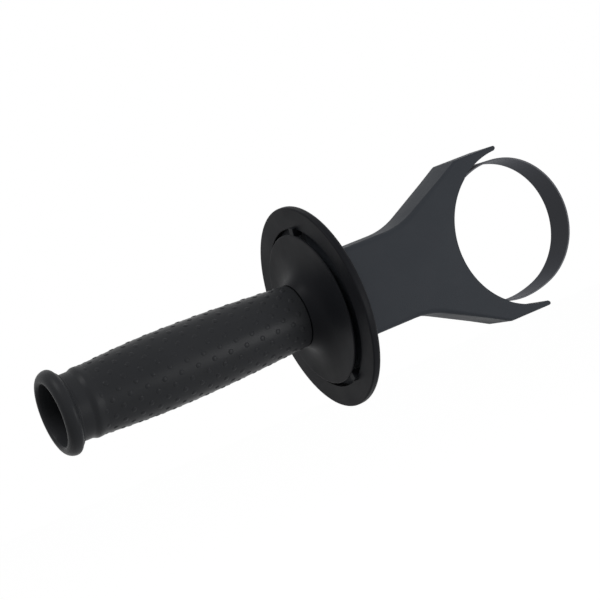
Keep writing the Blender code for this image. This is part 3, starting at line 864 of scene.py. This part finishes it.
@dataclass
class Strap:
    """The spring steel strip that closes the ring, bent in one run from bolt tab to bolt tab."""

    fork: Fork = field(default_factory=Fork)
    thickness: float = 0.9 * MM
    width: float = 16.0 * MM
    hole_radius: float = 4.4 * MM
    bend_radius: float = 3.0 * MM
    draw: float = 2.5 * MM
    tab_end: float = 7.5 * MM
    head_face: float = -54.2 * MM
    slack: tuple[Point, ...] = (
        (92.0, 1.7 * MM), (64.0, 1.1 * MM), (33.0, 0.1 * MM), (5.0, -0.75 * MM),
        (-28.0, -1.2 * MM), (-58.0, -1.3 * MM), (-86.0, -0.8 * MM))
    ring_steps: int = 180
    bend_steps: int = 8
    knee_steps: int = 6
    hole_sides: int = 48
    edge: float = 0.15 * MM
    sharp_angle: float = 50.0

    @property
    def upper_tab(self) -> float:
        """Where the middle of the upper leg's tab lies on X."""
        return self.head_face - self.thickness / 2 - GAP

    @property
    def lower_tab(self) -> float:
        """Where the middle of the lower leg's tab lies on X."""
        return self.upper_tab - self.thickness - GAP

    @property
    def mouth_height(self) -> float:
        """The height of the strap's middle where it leaves the saddle's end."""
        return self.fork.land + self.fork.saddle_step - self.thickness / 2 - GAP

    @property
    def foot_height(self) -> float:
        """The height at which a leg bends away from its tab."""
        return self.fork.chamber_half - self.bend_radius

    @property
    def leg_way(self) -> Vector:
        """The way of the upper leg as (x, z), from the bolt towards the horn."""
        knee = Vector((self.fork.saddle_x(self.fork.land) - self.bend_radius, self.mouth_height))
        return (knee - Vector((self.upper_tab, self.foot_height))).normalized()

    @property
    def lean(self) -> float:
        """How far a leg runs along X for each unit that it rises."""
        return self.leg_way[0] / self.leg_way[1]

    def knee(self, tab: float) -> Point:
        """Give where the upper leg of a tab turns towards its mouth, as (x, z)."""
        return tab + (self.mouth_height - self.foot_height) * self.lean, self.mouth_height

    def bend(self, before: Point, corner: Point, after: Point, steps: int) -> list[Point]:
        """Round the corner between two straight runs with an arc of the bend's radius.

        Args:
            before: A point of the first run.
            corner: Where the runs meet.
            after: A point of the second run.
            steps: The number of chords.

        Returns:
            The arc's points, from the first run to the second.
        """
        middle = Vector(corner)
        a, b = (Vector(before) - middle).normalized(), (Vector(after) - middle).normalized()
        half = a.angle(b) / 2
        centre = middle + (a + b).normalized() * self.bend_radius / math.sin(half)
        start = middle + a * self.bend_radius / math.tan(half) - centre
        turn = start.angle_signed(middle + b * self.bend_radius / math.tan(half) - centre)
        return [tuple(centre + Matrix.Rotation(-turn * i / steps, 2) @ start) for i in range(steps + 1)]

    def leg(self, side: int, tab: float) -> list[Point]:
        """List the middle line of one leg, from its tab's end to its knee beside the horn.

        Args:
            side: 1 for the upper leg, -1 for the lower one.
            tab: Where the leg's tab lies on X.

        Returns:
            The line's points as (x, z).
        """
        knee_x, height = self.knee(tab)
        foot, knee = (tab, side * self.foot_height), (knee_x, side * height)
        return [(tab, -side * self.tab_end), *self.bend((tab, 0.0), foot, knee, self.bend_steps),
                *self.bend(foot, knee, (0.0, knee[1]), self.knee_steps)]

    def knots(self) -> list[Point]:
        """List knots of the ring's middle line from its upper to its lower mouth.

        Returns:
            The knots as (angle in degrees, radius).
        """
        mouth_x, mouth_z = self.fork.saddle_x(self.fork.land), self.mouth_height
        angle, radius = math.degrees(math.atan2(mouth_z, mouth_x)), math.hypot(mouth_x, mouth_z)
        middle = self.fork.saddle_radius - self.fork.saddle_centre - GAP - self.thickness / 2
        return [(angle, radius), *((a, middle + slack) for a, slack in self.slack), (-angle, radius)]

    @staticmethod
    def radius_at(knots: Sequence[Point], angle: float) -> float:
        """Blend the knots' radii along a smooth curve.

        Args:
            knots: The knots as (angle, radius), their angles falling.
            angle: The angle that is asked for, in degrees.

        Returns:
            The radius there.
        """
        slopes = []
        for i in range(len(knots)):
            before, after = knots[max(i - 1, 0)], knots[min(i + 1, len(knots) - 1)]
            slopes.append((after[1] - before[1]) / (after[0] - before[0]))
        i = next(n for n in range(len(knots) - 1) if angle >= knots[n + 1][0] - NEAR)
        (a, first), (b, second) = knots[i], knots[i + 1]
        span, t = b - a, (angle - a) / (b - a)
        return ((2 * t ** 3 - 3 * t ** 2 + 1) * first + (t ** 3 - 2 * t ** 2 + t) * span * slopes[i]
                + (3 * t ** 2 - 2 * t ** 3) * second + (t ** 3 - t ** 2) * span * slopes[i + 1])

    def middle_line(self) -> list[Point]:
        """List the middle line from one bolt tab round the ring to the other.

        Returns:
            The line's points as (x, z).
        """
        knots = self.knots()
        top, bottom = knots[0][0], knots[-1][0]
        ring = []
        for i in range(self.ring_steps + 1):
            angle = top + (bottom - top) * i / self.ring_steps
            radius = self.radius_at(knots, angle)
            ring.append((radius * math.cos(math.radians(angle)), radius * math.sin(math.radians(angle))))
        return self.leg(1, self.upper_tab) + ring + self.leg(-1, self.lower_tab)[::-1]

    def unroll(self, piece: Object, line: Sequence[Point]) -> None:
        """Give the strip a UV map in metres, along its length and across it.

        Args:
            piece: The strip, one sheet of faces.
            line: Its middle line.
        """
        lengths = [0.0]
        for before, after in zip(line, line[1:]):
            lengths.append(lengths[-1] + math.dist(before, after))
        spots = []
        for vert in piece.data.vertices:
            index = min(range(len(line)), key=lambda i: math.dist(line[i], (vert.co.x, vert.co.z)))
            spots.append((lengths[index], vert.co.y))
        uv = piece.data.uv_layers.new(name="unrolled")
        for loop in piece.data.loops:
            uv.data[loop.index].uv = spots[loop.vertex_index]

    def build(self, finish: Material) -> None:
        """Model the strap and dress it.

        Args:
            finish: Its steel finish.
        """
        line = self.middle_line()
        piece = Bench.line("strap_band", [Vector((x, -self.width / 2, z)) for x, z in line], closed=False)
        bpy.ops.mesh.select_all(action="SELECT")
        bpy.ops.mesh.extrude_region_move(TRANSFORM_OT_translate={"value": (0.0, self.width, 0.0)})
        Bench.tidy(piece)
        self.unroll(piece, line)
        Bench.modify(piece, "SOLIDIFY", thickness=self.thickness, offset=0.0, use_even_offset=True)
        hole = Bench.rod("hole", self.hole_radius, self.lower_tab - self.thickness, self.head_face + MM,
                         self.hole_sides)
        Bench.work(piece, hole, Cut.AWAY)
        Bench.modify(piece, "BEVEL", width=self.edge, segments=2, limit_method="ANGLE",
                     angle_limit=math.radians(self.sharp_angle))
        Bench.smooth(piece)
        Bench.settle(piece, Body.STRAP, Slot.STRAP, finish, "clamp_strap")


@dataclass
class Fastening:
    """The hammer-head bolt, the nut in the core and the thrust washer, all plated."""

    bolt_radius: float = 4.0 * MM
    bolt_steps: int = 48
    bolt_sharp_angle: float = 28.0
    head_face: float = Strap.head_face
    head_thickness: float = 6.0 * MM
    head_length: float = 15.0 * MM
    head_width: float = 9.0 * MM
    bolt_length: float = 77.0 * MM
    chamfer: float = 1.0 * MM
    pitch: float = 1.25 * MM
    thread_depth: float = 0.7 * MM
    thread_turns: int = 32
    thread_steps: int = 24
    thread_reach: float = 1e-7
    centre_hole: float = 0.2 * MM
    plug_radius: float = 0.3 * MM
    plug_sides: int = 12
    nut_flats: float = 13.0 * MM
    nut_thickness: float = 6.5 * MM
    nut_floor: float = -114.5 * MM
    nut_turn_down: float = 0.2 * MM
    nut_sharp_angle: float = 25.0
    nut_steps: int = 96
    washer_radius: float = 10.4 * MM
    washer_thickness: float = 1.6 * MM
    washer_back: float = -100.2 * MM
    washer_steps: int = 64
    bore: float = Fork.bore_radius

    def thread(self, start: float) -> Object:
        """Wind one ridge of the thread along the shank.

        Args:
            start: Where the ridge starts on X.

        Returns:
            The closed ridge.
        """
        root = self.bolt_radius - self.thread_depth
        corners = [(start, root - GAP), (start, root), (start + self.pitch / 2 - GAP / 4, self.bolt_radius),
                   (start + self.pitch / 2 + GAP / 4, self.bolt_radius), (start + self.pitch, root),
                   (start + self.pitch, root - GAP)]
        ridge = Bench.line("thread", [Vector((x, 0.0, radius)) for x, radius in corners])
        Bench.modify(ridge, "SCREW", axis="X", screw_offset=self.pitch, iterations=self.thread_turns,
                     steps=self.thread_steps, render_steps=self.thread_steps)
        Bench.edit(ridge)
        bpy.ops.mesh.select_all(action="DESELECT")
        bpy.ops.mesh.select_non_manifold(extend=False)
        bpy.ops.mesh.fill()
        Bench.tidy(ridge, self.thread_reach)
        return ridge

    def build_bolt(self, finish: Material) -> None:
        """Model the bolt with its rolled thread and hammer head.

        Args:
            finish: Its plated finish.
        """
        end, stop = self.head_face - self.bolt_length, self.head_face + self.head_thickness / 2
        root = self.bolt_radius - self.thread_depth
        run_out = end + self.chamfer + self.pitch * (self.thread_turns + 1)
        profile = [(end, self.centre_hole), (end, root - GAP), (end + self.chamfer, root), (run_out, root),
                   (run_out + self.thread_depth, self.bolt_radius), (stop, self.bolt_radius),
                   (stop, self.centre_hole)]
        shank = Bench.lathe("hammer_bolt", profile, self.bolt_steps)
        Bench.work(shank, Bench.rod("plug", self.plug_radius, end, stop, self.plug_sides), Cut.JOINED)
        low = Vector((self.head_face, -self.head_width / 2, -self.head_length / 2))
        size = Vector((self.head_thickness, self.head_width, self.head_length))
        Bench.work(shank, Bench.block("head", low, low + size, self.chamfer), Cut.JOINED)
        Bench.join(shank, self.thread(end + self.chamfer))
        Bench.smooth(shank, self.bolt_sharp_angle)
        Bench.settle(shank, Body.STRAP, Slot.ZINC, finish, "tension_bolt")

    def build_nut(self, finish: Material) -> None:
        """Model the nut, its corners turned down to a cone at both faces.

        Args:
            finish: Its plated finish.
        """
        stop = self.nut_floor - GAP
        start = stop - self.nut_thickness
        corner = self.nut_flats / math.sqrt(3)
        piece = Bench.rod("pressed_nut", corner, start, stop, HEX_SIDES)
        low, drop = self.nut_flats / 2 - self.nut_turn_down, corner - self.nut_flats / 2
        profile = [(start - MM, self.bore), (start - MM, low), (start, low),
                   (start + drop / 2, corner + GAP), (stop - drop / 2, corner + GAP),
                   (stop, low), (stop + MM, low), (stop + MM, self.bore)]
        Bench.work(piece, Bench.lathe("barrel", profile, self.nut_steps), Cut.SHARED)
        Bench.smooth(piece, self.nut_sharp_angle)
        Bench.settle(piece, Body.GRIP, Slot.ZINC, finish, "hex_nut")

    def build_washer(self, finish: Material) -> None:
        """Model the punched washer with its softly rolled edges.

        Args:
            finish: Its plated finish.
        """
        back, front = self.washer_back, self.washer_back + self.washer_thickness
        rim = self.washer_radius - GAP
        profile = [(back, self.bore + GAP), (back, rim),
                   *arc((back + GAP, rim), GAP, 180.0, 90.0, EDGE_CHORDS)[1:],
                   *arc((front - GAP, rim), GAP, 90.0, 0.0, EDGE_CHORDS),
                   (front, self.bore + GAP), (front - GAP, self.bore), (back + GAP, self.bore)]
        piece = Bench.lathe("punched_washer", profile, self.washer_steps)
        Bench.smooth(piece)
        Bench.settle(piece, Body.GRIP, Slot.ZINC, finish, "thrust_washer")

    def build(self, finish: Material) -> None:
        """Model and dress all three fasteners.

        Args:
            finish: Their plated finish.
        """
        self.build_bolt(finish)
        self.build_nut(finish)
        self.build_washer(finish)


@dataclass
class Core:
    """The grip's core: tube, collar, trumpet bell, slotted guard ring, hub and spigot."""

    neck_end: float = Fork.neck_end
    spigot_radius: float = 10.6 * MM
    spigot_length: float = 5.2 * MM
    spigot_chamfer: float = 1.0 * MM
    hub_radius: float = 14.0 * MM
    tube_radius: float = 12.7 * MM
    bore_radius: float = 10.5 * MM
    bolt_bore: float = Fork.bore_radius
    open_end: float = -229.0 * MM
    collar: float = -118.9 * MM
    collar_radius: float = 15.0 * MM
    nut_floor: float = Fastening.nut_floor
    nut_thickness: float = Fastening.nut_thickness
    nut_flats: float = Fastening.nut_flats
    flare: float = 3.0
    root_flare: float = 9.0
    root_share: float = 0.45
    lip: float = -110.9 * MM
    lip_radius: float = 36.1 * MM
    lip_thickness: float = 1.0 * MM
    bell_wall: float = 2.6 * MM
    hub_fillet: float = 1.8 * MM
    guard_radius: float = 48.4 * MM
    step_radius: float = 40.2 * MM
    hole_radius: float = 38.3 * MM
    guard_front: float = -108.6 * MM
    guard_thickness: float = 2.8 * MM
    rim_thickness: float = 4.3 * MM
    guard_edge: float = 0.8 * MM
    guard_back_edge: float = 2.2 * MM
    hole_edge: float = 0.3 * MM
    bridge_width: float = 3.8 * MM
    bridge_sink: float = 0.35
    bridge_turns: tuple[float, ...] = (13.0, 154.0, 263.0)
    ribs: int = 6
    rib_thickness: float = 2.0 * MM
    rib_radius: float = 31.0 * MM
    rib_depth: float = 2.3 * MM
    bell_steps: int = 40
    steps: int = 168
    sharp_angle: float = 30.0

    def profile(self) -> list[Point]:
        """List the section of tube, collar, bell, hub and spigot.

        Returns:
            The section's points as (x, radius).
        """
        hub_end, spigot_end = self.neck_end - GAP, self.neck_end + self.spigot_length - GAP
        points = [(self.open_end, self.bore_radius), (self.open_end, self.tube_radius - GAP),
                  (self.open_end + GAP, self.tube_radius), (self.collar, self.tube_radius),
                  (self.collar, self.collar_radius)]
        lip = self.lip_thickness / 2
        rise, reach = self.lip - self.collar, self.lip_radius - lip - self.collar_radius
        for i in range(1, self.bell_steps):
            share = 1 - i / self.bell_steps
            curve = (1 - self.root_share) * share ** self.flare + self.root_share * share ** self.root_flare
            points.append((self.lip - rise * curve, self.collar_radius + reach * (1 - share)))
        points += arc((self.lip + lip, self.lip_radius - lip), lip, 180.0, 0.0, WIDE_CHORDS)
        under, nut_back = self.lip + self.bell_wall, self.nut_floor - self.nut_thickness - 2 * GAP
        points += [(under, (self.hub_radius + self.lip_radius) / 2)]
        points += arc((under + self.hub_fillet, self.hub_radius + self.hub_fillet), self.hub_fillet,
                      180.0, 270.0, ROUND_CHORDS)
        return points + [(hub_end, self.hub_radius), (hub_end, self.spigot_radius),
                         (spigot_end - self.spigot_chamfer, self.spigot_radius),
                         (spigot_end, self.spigot_radius - self.spigot_chamfer),
                         (spigot_end, self.bolt_bore), (nut_back, self.bolt_bore),
                         (nut_back, self.bore_radius)]

    def guard_profile(self) -> list[Point]:
        """List the section of the guard's ring, flat in front and thicker at its rim.

        Returns:
            The section's points as (x, radius).
        """
        front, back = self.guard_front, self.guard_front + self.guard_thickness
        rim, rim_back = self.guard_radius - self.guard_edge, self.guard_front + self.rim_thickness
        back_edge, edge = self.guard_back_edge, self.hole_edge
        points = arc((back - edge, self.hole_radius + edge), edge, 0.0, -90.0, EDGE_CHORDS)
        points += arc((front + edge, self.hole_radius + edge), edge, 270.0, 180.0, EDGE_CHORDS)
        points += arc((front + self.guard_edge, rim), self.guard_edge, 180.0, 90.0, ROUND_CHORDS)
        points += arc((rim_back - back_edge, self.guard_radius - back_edge), back_edge,
                      90.0, 0.0, WIDE_CHORDS)
        return points + [(rim_back, self.step_radius + self.guard_edge), (back, self.step_radius)]

    @staticmethod
    def turn(piece: Object, angle: float) -> Object:
        """Turn a piece about the handle's axis and keep the turn in its mesh.

        Args:
            piece: The piece.
            angle: The turn in radians, from +Z towards -Y.

        Returns:
            The piece.
        """
        piece.matrix_world = Matrix.Rotation(angle, 4, "X")
        Bench.pick(piece)
        bpy.ops.object.transform_apply()
        Bench.clear()
        return piece

    def bridge(self, turn: float) -> Object:
        """Model one of the webs that carry the ring on the bell's lip.

        Args:
            turn: Its turn about the axis in degrees.

        Returns:
            The web in its place.
        """
        start = self.lip + self.lip_thickness * self.bridge_sink
        stop = self.guard_front + self.guard_thickness - self.lip_thickness / 2
        piece = Bench.block("bridge", (start, -self.bridge_width / 2, self.lip_radius - MM),
                            (stop, self.bridge_width / 2, self.hole_radius + MM), GAP)
        return self.turn(piece, math.radians(turn))

    def rib(self, index: int) -> Object:
        """Model one rib under the bell, lower towards the lip.

        Args:
            index: Its number, from 0.

        Returns:
            The rib in its place.
        """
        under = self.lip + self.bell_wall
        low = (self.lip + self.bell_wall / 2, -self.rib_thickness / 2, self.hub_radius - self.bell_wall)
        piece = Bench.block("rib", low, (under + self.rib_depth, self.rib_thickness / 2, self.rib_radius))
        Bench.edit(piece)
        Bench.choose(piece, lambda vert: vert.co.z > self.hub_radius and vert.co.x > under)
        bpy.ops.transform.translate(value=(self.bell_wall / 2 - self.rib_depth, 0.0, 0.0))
        Bench.clear()
        return self.turn(piece, math.tau * index / self.ribs)

    def build(self, finish: Material) -> None:
        """Model the core in one piece and dress it.

        Args:
            finish: Its moulded finish.
        """
        piece = Bench.lathe("core_and_guard", self.profile(), self.steps)
        flats = (self.nut_flats + 2 * GAP) / math.sqrt(3)
        pocket_end = self.collar - 2 * self.nut_thickness
        pocket = Bench.rod("nut_pocket", flats, pocket_end, self.nut_floor, HEX_SIDES)
        Bench.work(piece, pocket, Cut.AWAY)
        Bench.work(piece, Bench.lathe("ring", self.guard_profile(), self.steps), Cut.JOINED)
        for turn in self.bridge_turns:
            Bench.work(piece, self.bridge(turn), Cut.JOINED)
        for index in range(self.ribs):
            Bench.work(piece, self.rib(index), Cut.JOINED)
        Bench.smooth(piece, self.sharp_angle)
        Bench.settle(piece, Body.GRIP, Slot.CORE, finish, "handle_core")


@dataclass
class Sleeve:
    """The soft sleeve: rolled mouth, thin line, neck, shoulder ring and pimpled field."""

    inner_radius: float = 13.0 * MM
    end: float = -119.2 * MM
    lip: float = -242.5 * MM
    mouth_radius: float = 14.3 * MM
    bore_radius: float = 13.9 * MM
    bore_end: float = -229.3 * MM
    mouth_depth: float = 3.5 * MM
    mouth_round: float = 1.5 * MM
    bead_radius: float = 19.6 * MM
    bead_width: float = 6.5 * MM
    line_place: float = -235.5 * MM
    line_radius: float = 17.2 * MM
    line_width: float = 0.4 * MM
    neck_radius: float = 15.4 * MM
    neck_place: float = -230.6 * MM
    neck_fillet: float = 1.2 * MM
    ring_place: float = -226.2 * MM
    ring_radius: float = 16.3 * MM
    field_start: float = -222.6 * MM
    field_radius: float = 16.0 * MM
    belly_place: float = -187.0 * MM
    belly_radius: float = 17.5 * MM
    end_radius: float = 14.7 * MM
    end_round: float = 0.6 * MM
    collar: float = Core.collar
    steps: int = 144
    field_steps: int = 60
    swell_steps: int = 12
    crest_steps: int = 16
    end_steps: int = 5
    sharp_angle: float = 45.0
    pimple_radius: float = 1.25 * MM
    pimple_height: float = 0.25 * MM
    pimple_sink: float = 0.1 * MM
    pimple_pitch: float = 8.29 * MM
    pimple_start: float = -223.6 * MM
    pimple_rows: int = 26
    pimple_row_count: int = 13
    first_row_turn: float = 173.8
    pimple_sides: int = 12
    dome: tuple[Point, ...] = field(default=((0.0, 1.0), (0.5, 0.86), (0.86, 0.56)))

    def field_radius_at(self, x: float) -> float:
        """Give the sleeve's outer radius in its swelling field.

        Args:
            x: The place along the handle.

        Returns:
            The radius there.
        """
        if x < self.belly_place:
            share, end = (self.belly_place - x) / (self.belly_place - self.field_start), self.field_radius
        else:
            share, end = (x - self.belly_place) / (self.collar - self.belly_place), self.end_radius
        return end + (self.belly_radius - end) * math.cos(math.pi / 2 * share)

    def profile(self) -> list[Point]:
        """List the section of the sleeve.

        Returns:
            The section's points as (x, radius).
        """
        lip = self.lip
        points = [(self.bore_end, self.inner_radius), (self.bore_end, self.bore_radius),
                  (lip + self.mouth_depth, self.bore_radius)]
        points += arc((lip + self.mouth_round, self.mouth_radius + self.mouth_round), self.mouth_round,
                      270.0, 190.0, WIDE_CHORDS)
        bead = self.bead_width / 3
        crest, foot = lip + self.bead_width - bead, self.mouth_radius + self.mouth_round
        points += [(crest + (crest - lip) * x, foot + (self.bead_radius - foot) * rise)
                   for x, rise in arc((0.0, 0.0), 1.0, 180.0, 90.0, self.crest_steps)]
        points += arc((crest, self.bead_radius - bead), bead, 90.0, 10.0, WIDE_CHORDS)[1:]
        line_end = self.line_place + self.line_width
        points += [(self.line_place, self.line_radius), (line_end, self.line_radius)]
        points += arc((line_end + self.neck_fillet, self.neck_radius + self.neck_fillet), self.neck_fillet,
                      180.0, 270.0, ROUND_CHORDS)
        points += self.shoulder_ring()
        stop = self.end - MM
        for i in range(1, self.field_steps):
            x = self.field_start + (stop - self.field_start) * i / self.field_steps
            points.append((x, self.field_radius_at(x)))
        points += arc((self.end - self.end_round, self.end_radius - self.end_round), self.end_round,
                      90.0, 0.0, self.end_steps)
        return points + [(self.end, self.inner_radius)]

    def swell(self, start: Point, stop: Point) -> list[Point]:
        """List a soft S curve between two points.

        Args:
            start: The first point.
            stop: The last point.

        Returns:
            The curve's points, both ends included.
        """
        shares = [i / self.swell_steps for i in range(self.swell_steps + 1)]
        return [(start[0] + (stop[0] - start[0]) * share,
                 start[1] + (stop[1] - start[1]) * (1 - math.cos(math.pi * share)) / 2) for share in shares]

    def shoulder_ring(self) -> list[Point]:
        """List the soft ring between neck and field, as a smooth swelling.

        Returns:
            The points as (x, radius).
        """
        neck = (self.neck_place + self.neck_fillet, self.neck_radius)
        ring = (self.ring_place, self.ring_radius)
        return [(self.neck_place, self.neck_radius), *self.swell(neck, ring),
                *self.swell(ring, (self.field_start, self.field_radius))[1:]]

    def pimple(self) -> Object:
        """Raise one pimple from a disc, ring by ring, standing along Z at the origin.

        Returns:
            The pimple, in object mode.
        """
        Bench.clear()
        bpy.ops.mesh.primitive_circle_add(vertices=self.pimple_sides, radius=self.pimple_radius,
                                          fill_type="NGON")
        piece = Bench.added("pimple")
        Bench.edit(piece)
        height, width = -self.pimple_sink, 1.0
        bpy.ops.transform.translate(value=(0.0, 0.0, height))
        for level, share in self.dome:
            rise = level * self.pimple_height - height
            bpy.ops.mesh.extrude_region_move(TRANSFORM_OT_translate={"value": (0.0, 0.0, rise)})
            scale = share / width
            bpy.ops.transform.resize(value=(scale, scale, 1.0), center_override=(0.0, 0.0, 0.0))
            height, width = level * self.pimple_height, share
        rise = self.pimple_height - height
        bpy.ops.mesh.extrude_region_move(TRANSFORM_OT_translate={"value": (0.0, 0.0, rise)})
        bpy.ops.mesh.merge(type="CENTER")
        Bench.clear()
        return piece

    def pimple_places(self) -> list[Matrix]:
        """List where each pimple stands, its own Z along the sleeve's normal.

        Returns:
            A matrix for each pimple, row by row.
        """
        places = []
        for row in range(self.pimple_rows):
            turn = math.radians(self.first_row_turn + 360.0 * row / self.pimple_rows)
            shifted = row % 2
            for i in range(self.pimple_row_count - shifted):
                x = self.pimple_start + self.pimple_pitch * (i + shifted / 2)
                radius = self.field_radius_at(x)
                lean = math.atan2(self.field_radius_at(x + MM) - self.field_radius_at(x - MM), 2 * MM)
                out = Matrix.Rotation(turn - math.pi / 2, 4, "X") @ Matrix.Rotation(-lean, 4, "Y")
                spot = Matrix.Translation((x, radius * math.cos(turn), radius * math.sin(turn)))
                places.append(spot @ out)
        return places

    def build(self, finish: Material) -> None:
        """Model the sleeve, copy the pimples onto it and dress it.

        Args:
            finish: Its soft finish.
        """
        piece = Bench.lathe("soft_sleeve", self.profile(), self.steps)
        first = self.pimple()
        pimples = [first]
        places = self.pimple_places()
        for place in places[1:]:
            Bench.pick(first)
            bpy.ops.object.duplicate(linked=False)
            copy = bpy.context.object
            copy.matrix_world = place
            pimples.append(copy)
        first.matrix_world = places[0]
        Bench.pick(*pimples)
        bpy.ops.object.transform_apply()
        Bench.join(piece, *pimples)
        Bench.smooth(piece, self.sharp_angle)
        Bench.settle(piece, Body.GRIP, Slot.SLEEVE, finish, "grip_sleeve")
        LOG.info("soft_sleeve carries %d pimples", len(places))


@dataclass(frozen=True)
class SoftBox:
    """One soft lamp of the studio."""

    name: str
    place: Place
    aim: Place
    size: float
    watts: float

    def build(self) -> None:
        """Add the lamp and turn it to its aim."""
        lamp = bpy.data.lights.new(self.name, "AREA")
        lamp.shape, lamp.size, lamp.energy = "SQUARE", self.size, self.watts
        holder = bpy.data.objects.new(self.name, lamp)
        holder.location = self.place
        way = Vector(self.aim) - Vector(self.place)
        holder.rotation_euler = way.to_track_quat("-Z", "Y").to_euler()
        bpy.context.scene.collection.objects.link(holder)


@dataclass
class Studio:
    """The camera, the pale floor and the soft light."""

    camera_place: Place = (-0.4562, -0.7605, 0.0645)
    camera_turn: Place = (85.7236, 20.3013, -25.7015)
    lens: float = 109.9775
    sensor: float = 36.0
    clip_start: float = 0.01
    floor_drop: float = -0.6
    floor_size: float = 8.0
    floor_tone: float = 0.6
    floor_roughness: float = 0.9
    floor_glow: float = 0.75
    ambient: float = 0.4
    lamps: tuple[SoftBox, ...] = (
        SoftBox("front_lamp", (0.5, -1.1, -0.25), (-0.1, 0.0, 0.0), 0.6, 9.0),
        SoftBox("top_lamp", (-0.6, -0.2, 1.0), (-0.12, 0.0, 0.0), 0.45, 6.0),
    )

    def build_camera(self) -> None:
        """Add the camera at the photograph's viewing angle."""
        data = bpy.data.cameras.new("photo_camera")
        data.lens, data.sensor_width, data.sensor_fit = self.lens, self.sensor, "HORIZONTAL"
        data.clip_start = self.clip_start
        camera = bpy.data.objects.new("photo_camera", data)
        camera.location = self.camera_place
        camera.rotation_euler = [math.radians(angle) for angle in self.camera_turn]
        bpy.context.scene.collection.objects.link(camera)
        bpy.context.scene.camera = camera

    def build_floor(self) -> None:
        """Add the floor, which keeps the shadow and shows white to the camera."""
        Bench.clear()
        bpy.ops.mesh.primitive_plane_add(size=self.floor_size, location=(0.0, 0.0, self.floor_drop))
        floor = Bench.added("studio_floor")
        bpy.ops.object.transform_apply()
        material = bpy.data.materials.new("studio_paper")
        material.use_nodes = True
        board = Board(material.node_tree)
        shader = material.node_tree.nodes["Principled BSDF"]
        shader.inputs["Base Color"].default_value = (self.floor_tone, self.floor_tone, self.floor_tone, 1.0)
        shader.inputs["Roughness"].default_value = self.floor_roughness
        shader.inputs["Specular IOR Level"].default_value = 0.0
        strength = board.math("MULTIPLY", board.seen("ADD"), self.floor_glow)
        glow = board.add("ShaderNodeEmission", {"Strength": strength}).outputs[0]
        both = board.add("ShaderNodeAddShader", {0: shader.outputs[0], 1: glow}).outputs[0]
        output = material.node_tree.nodes["Material Output"]
        material.node_tree.links.new(both, output.inputs["Surface"])
        floor.data.materials.append(material)

    def build_world(self) -> None:
        """Light the scene evenly and show white behind it."""
        world = bpy.data.worlds.new("studio_air")
        world.use_nodes = True
        bpy.context.scene.world = world
        board = Board(world.node_tree)
        plain = world.node_tree.nodes["Background"]
        plain.inputs["Color"].default_value = (1.0, 1.0, 1.0, 1.0)
        plain.inputs["Strength"].default_value = self.ambient
        white = board.add("ShaderNodeBackground", {"Color": (1.0, 1.0, 1.0, 1.0), "Strength": 1.0})
        both = board.add("ShaderNodeMixShader",
                         {0: board.seen("MAXIMUM"), 1: plain.outputs[0], 2: white.outputs[0]}).outputs[0]
        world.node_tree.links.new(both, world.node_tree.nodes["World Output"].inputs["Surface"])

    def build(self) -> None:
        """Set up the camera, the floor, the world, the lamps and the plain view."""
        self.build_camera()
        self.build_floor()
        self.build_world()
        for lamp in self.lamps:
            lamp.build()
        bpy.context.scene.view_settings.view_transform = "Standard"


def main() -> None:
    """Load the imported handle, build each sub-assembly around it and set up the studio."""
    logging.basicConfig(level=logging.INFO, format="%(name)s: %(message)s")
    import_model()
    effects, palette, fork = Effects(), Palette(), Fork()
    strap = Strap(fork)
    Studio().build()
    fork.build(strap, palette.fork.build(effects))
    strap.build(palette.strap.build(effects))
    Fastening().build(palette.zinc.build(effects))
    Core().build(palette.guard.build(effects))
    Sleeve().build(palette.sleeve.build(effects))
    Bench.clear()


if __name__ == "__main__":
    main()
